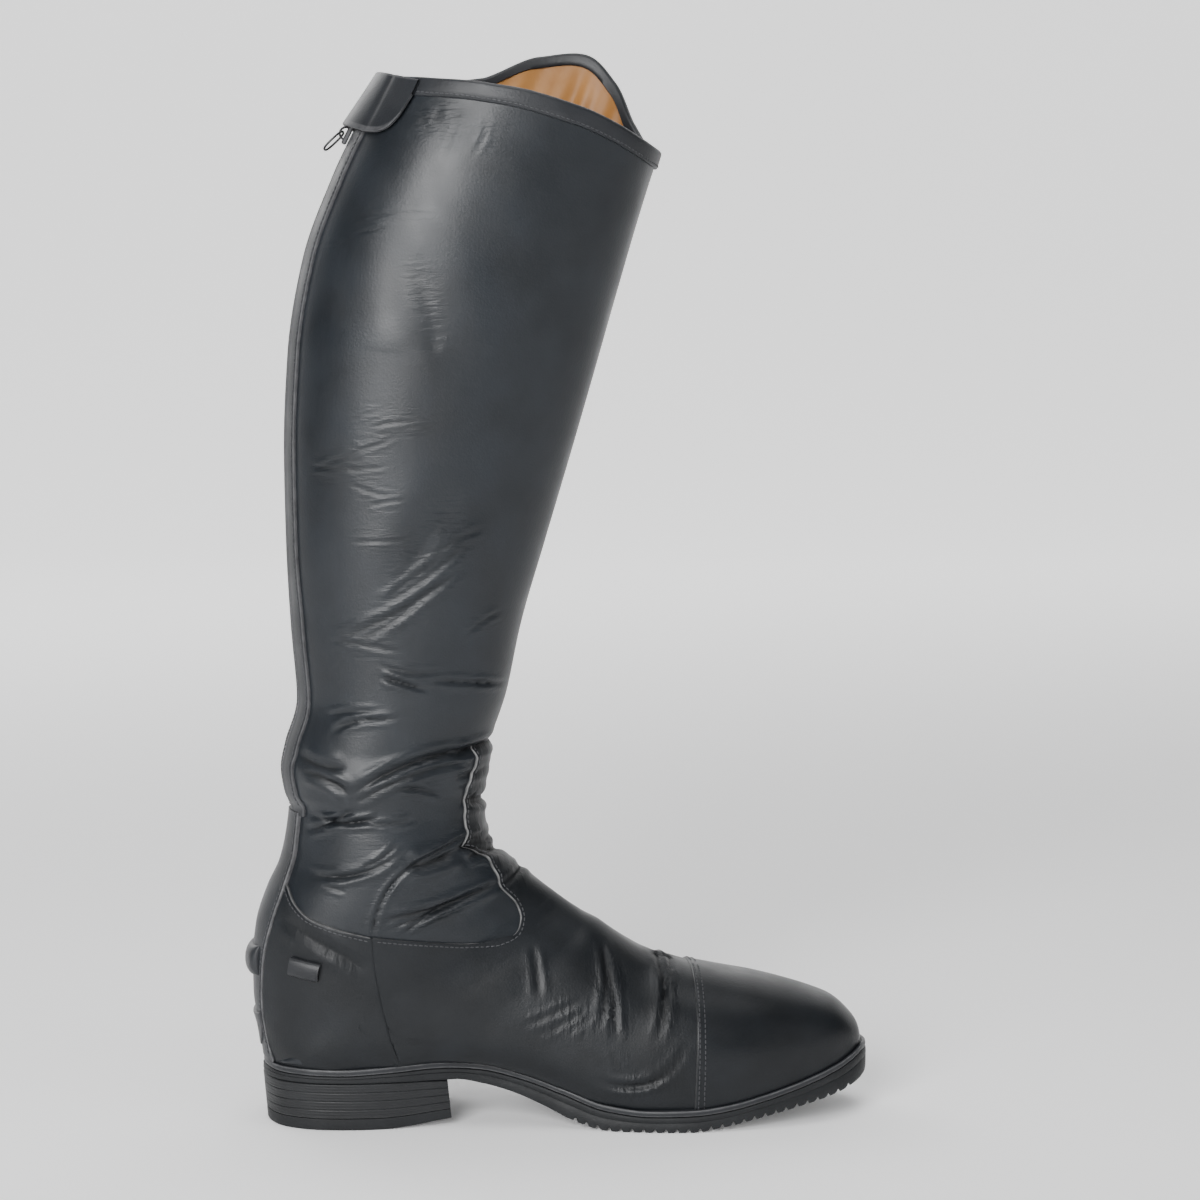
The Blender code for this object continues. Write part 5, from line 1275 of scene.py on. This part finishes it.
def make_stage():
    """Pale sweep: a floor that runs back and curves up into a wall, under a sky that is brighter over
    the boot than low down. The sweep glows as painted light, faintly on the floor by the boot and fully up
    the wall. Seen directly, past the floor's other edges, the sky is an even grey."""
    turn = np.linspace(0, math.pi / 2, 33)
    bend = np.stack([SWEEP_BACK + SWEEP_ROUND * np.sin(turn), SWEEP_ROUND * (1 - np.cos(turn))], axis=1)
    side = np.concatenate([[(-SWEEP_REACH, 0.0)], bend, [(bend[-1, 0], SWEEP_REACH)]])
    ends = (-SWEEP_REACH, SWEEP_REACH)
    points = np.stack([np.concatenate([np.full((len(side), 1), x), side], axis=1) for x in ends])
    mesh = bpy.data.meshes.new("floor")
    faces = lattice(2, len(side))[:, ::-1]
    mesh.from_pydata(points.reshape(-1, 3).tolist(), [], faces.tolist())
    mesh.shade_smooth()
    finish = bpy.data.materials.new("floor")
    finish.use_nodes = True
    shader = finish.node_tree.nodes["Principled BSDF"]
    shader.inputs["Base Color"].default_value = (0.93, 0.93, 0.935, 1.0)
    shader.inputs["Roughness"].default_value = 1.0
    shader.inputs["Specular IOR Level"].default_value = 0.0
    # Painted light: the sweep glows, faintly by the boot and fully up the wall
    shader.inputs["Emission Color"].default_value = (1.0, 1.0, 1.0, 1.0)
    nodes, links = finish.node_tree.nodes, finish.node_tree.links
    place, split, level = (nodes.new(f"ShaderNode{kind}") for kind in GRADIENT)
    level.interpolation_type = "SMOOTHSTEP"
    level.inputs["From Min"].default_value = 0.5
    level.inputs["From Max"].default_value = SWEEP_BACK
    level.inputs["To Min"].default_value, level.inputs["To Max"].default_value = SWEEP_GLOW
    links.new(place.outputs["Object"], split.inputs["Vector"])
    links.new(split.outputs["Y"], level.inputs["Value"])
    links.new(level.outputs["Result"], shader.inputs["Emission Strength"])
    mesh.materials.append(finish)
    floor = bpy.data.objects.new("floor", mesh)
    bpy.context.scene.collection.objects.link(floor)
    world = bpy.data.worlds.new("studio")
    world.use_nodes = True
    nodes, links = world.node_tree.nodes, world.node_tree.links
    place, split, level = (nodes.new(f"ShaderNode{kind}") for kind in GRADIENT)
    level.inputs["From Min"].default_value = -0.3
    level.inputs["From Max"].default_value = 0.9
    level.inputs["To Min"].default_value = SKY_LOW
    level.inputs["To Max"].default_value = SKY_HIGH
    links.new(place.outputs["Generated"], split.inputs["Vector"])
    links.new(split.outputs["Z"], level.inputs["Value"])
    seen = nodes.new("ShaderNodeMapRange")
    seen.inputs["To Max"].default_value = SKY_SEEN
    links.new(nodes.new("ShaderNodeLightPath").outputs["Is Camera Ray"], seen.inputs["Value"])
    links.new(level.outputs["Result"], seen.inputs["To Min"])
    links.new(seen.outputs["Result"], nodes["Background"].inputs["Strength"])
    bpy.context.scene.world = world
    for light in LIGHTS:
        lamp = bpy.data.lights.new(light.name, "AREA")
        lamp.shape = "RECTANGLE"
        lamp.size, lamp.size_y, lamp.energy = light.width, light.height, light.watts
        made = bpy.data.objects.new(light.name, lamp)
        made.location = (light.x, light.y, light.z)
        made.rotation_euler = aim(made.location, VIEW_TARGET)
        bpy.context.scene.collection.objects.link(made)


def aim(place, target):
    """Rotation that points a camera or lamp from its place at a target."""
    return (Vector(target) - Vector(place)).to_track_quat("-Z", "Y").to_euler()


def make_camera():
    """The photograph's view of the inner side from a little behind, at the height of the calf."""
    lens = bpy.data.cameras.new("camera")
    lens.lens, lens.sensor_width, lens.shift_x = VIEW_LENS, VIEW_SENSOR, VIEW_SHIFT
    camera = bpy.data.objects.new("camera", lens)
    x = VIEW_TARGET[0] + math.sin(VIEW_TURN) * VIEW_DISTANCE
    camera.location = (x, -math.cos(VIEW_TURN) * VIEW_DISTANCE, VIEW_HEIGHT)
    camera.rotation_euler = aim(camera.location, VIEW_TARGET)
    bpy.context.scene.collection.objects.link(camera)
    bpy.context.scene.camera = camera


def main():
    """Dresses the frame's boot."""
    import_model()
    leather = material("calf leather", (0.0085, 0.0103, 0.0128), 0.40, 0.30, 900, worn=(0.22, 0.22, 0.22),
                       creased=(0.45, 1.0, 2.6), turn=(0.0, 0.35, 0.0), coat=0.08, specular=0.33)
    foot = material("foot leather", (0.0060, 0.0070, 0.0084), 0.42, 0.32, 900, worn=(0.17, 0.17, 0.17),
                    creased=(2.2, 1.0, 0.5), turn=(0.0, 0.25, 0.0), coat=0.04, specular=0.26)
    trim = material("trim leather", (0.0105, 0.0115, 0.0135), 0.45, 0.35, 1100,
                    worn=(0.16, 0.16, 0.165), specular=0.36)
    lining = material("lining leather", (0.25, 0.105, 0.024), 0.5, 0.25, 500,
                      shade=(0.37, 0.175, 0.052), specular=0.3)
    rubber = material("sole rubber", (0.0085, 0.0092, 0.0102), 0.6, 0.5, 700,
                      worn=(0.05, 0.052, 0.055), specular=0.3)
    stack = material("heel stack", (0.0092, 0.0098, 0.0108), 0.52, 0.5, 500,
                     worn=(0.06, 0.06, 0.06), specular=0.34)
    metal = material("black metal", (0.012, 0.012, 0.013), 0.34, 0.05, 400, specular=0.4)
    coil = material("zip coil", (0.012, 0.012, 0.013), 0.45, 0.1, 400)
    thread = material("thread", (0.026, 0.027, 0.030), 0.6, 0.2, 2000)
    make_shaft(leather, lining)
    make_vamp(foot)
    make_toe_cap(foot)
    make_counters(foot)
    make_heel_strip(trim)
    make_heel_trim(trim)
    make_keepers(trim)
    make_binding(trim)
    make_zip(trim, coil)
    make_flap(trim, metal)
    make_pull(metal)
    make_welt(trim)
    make_outsole(rubber)
    make_heel(stack, rubber)
    make_thread(thread)
    make_stage()
    make_camera()


main()
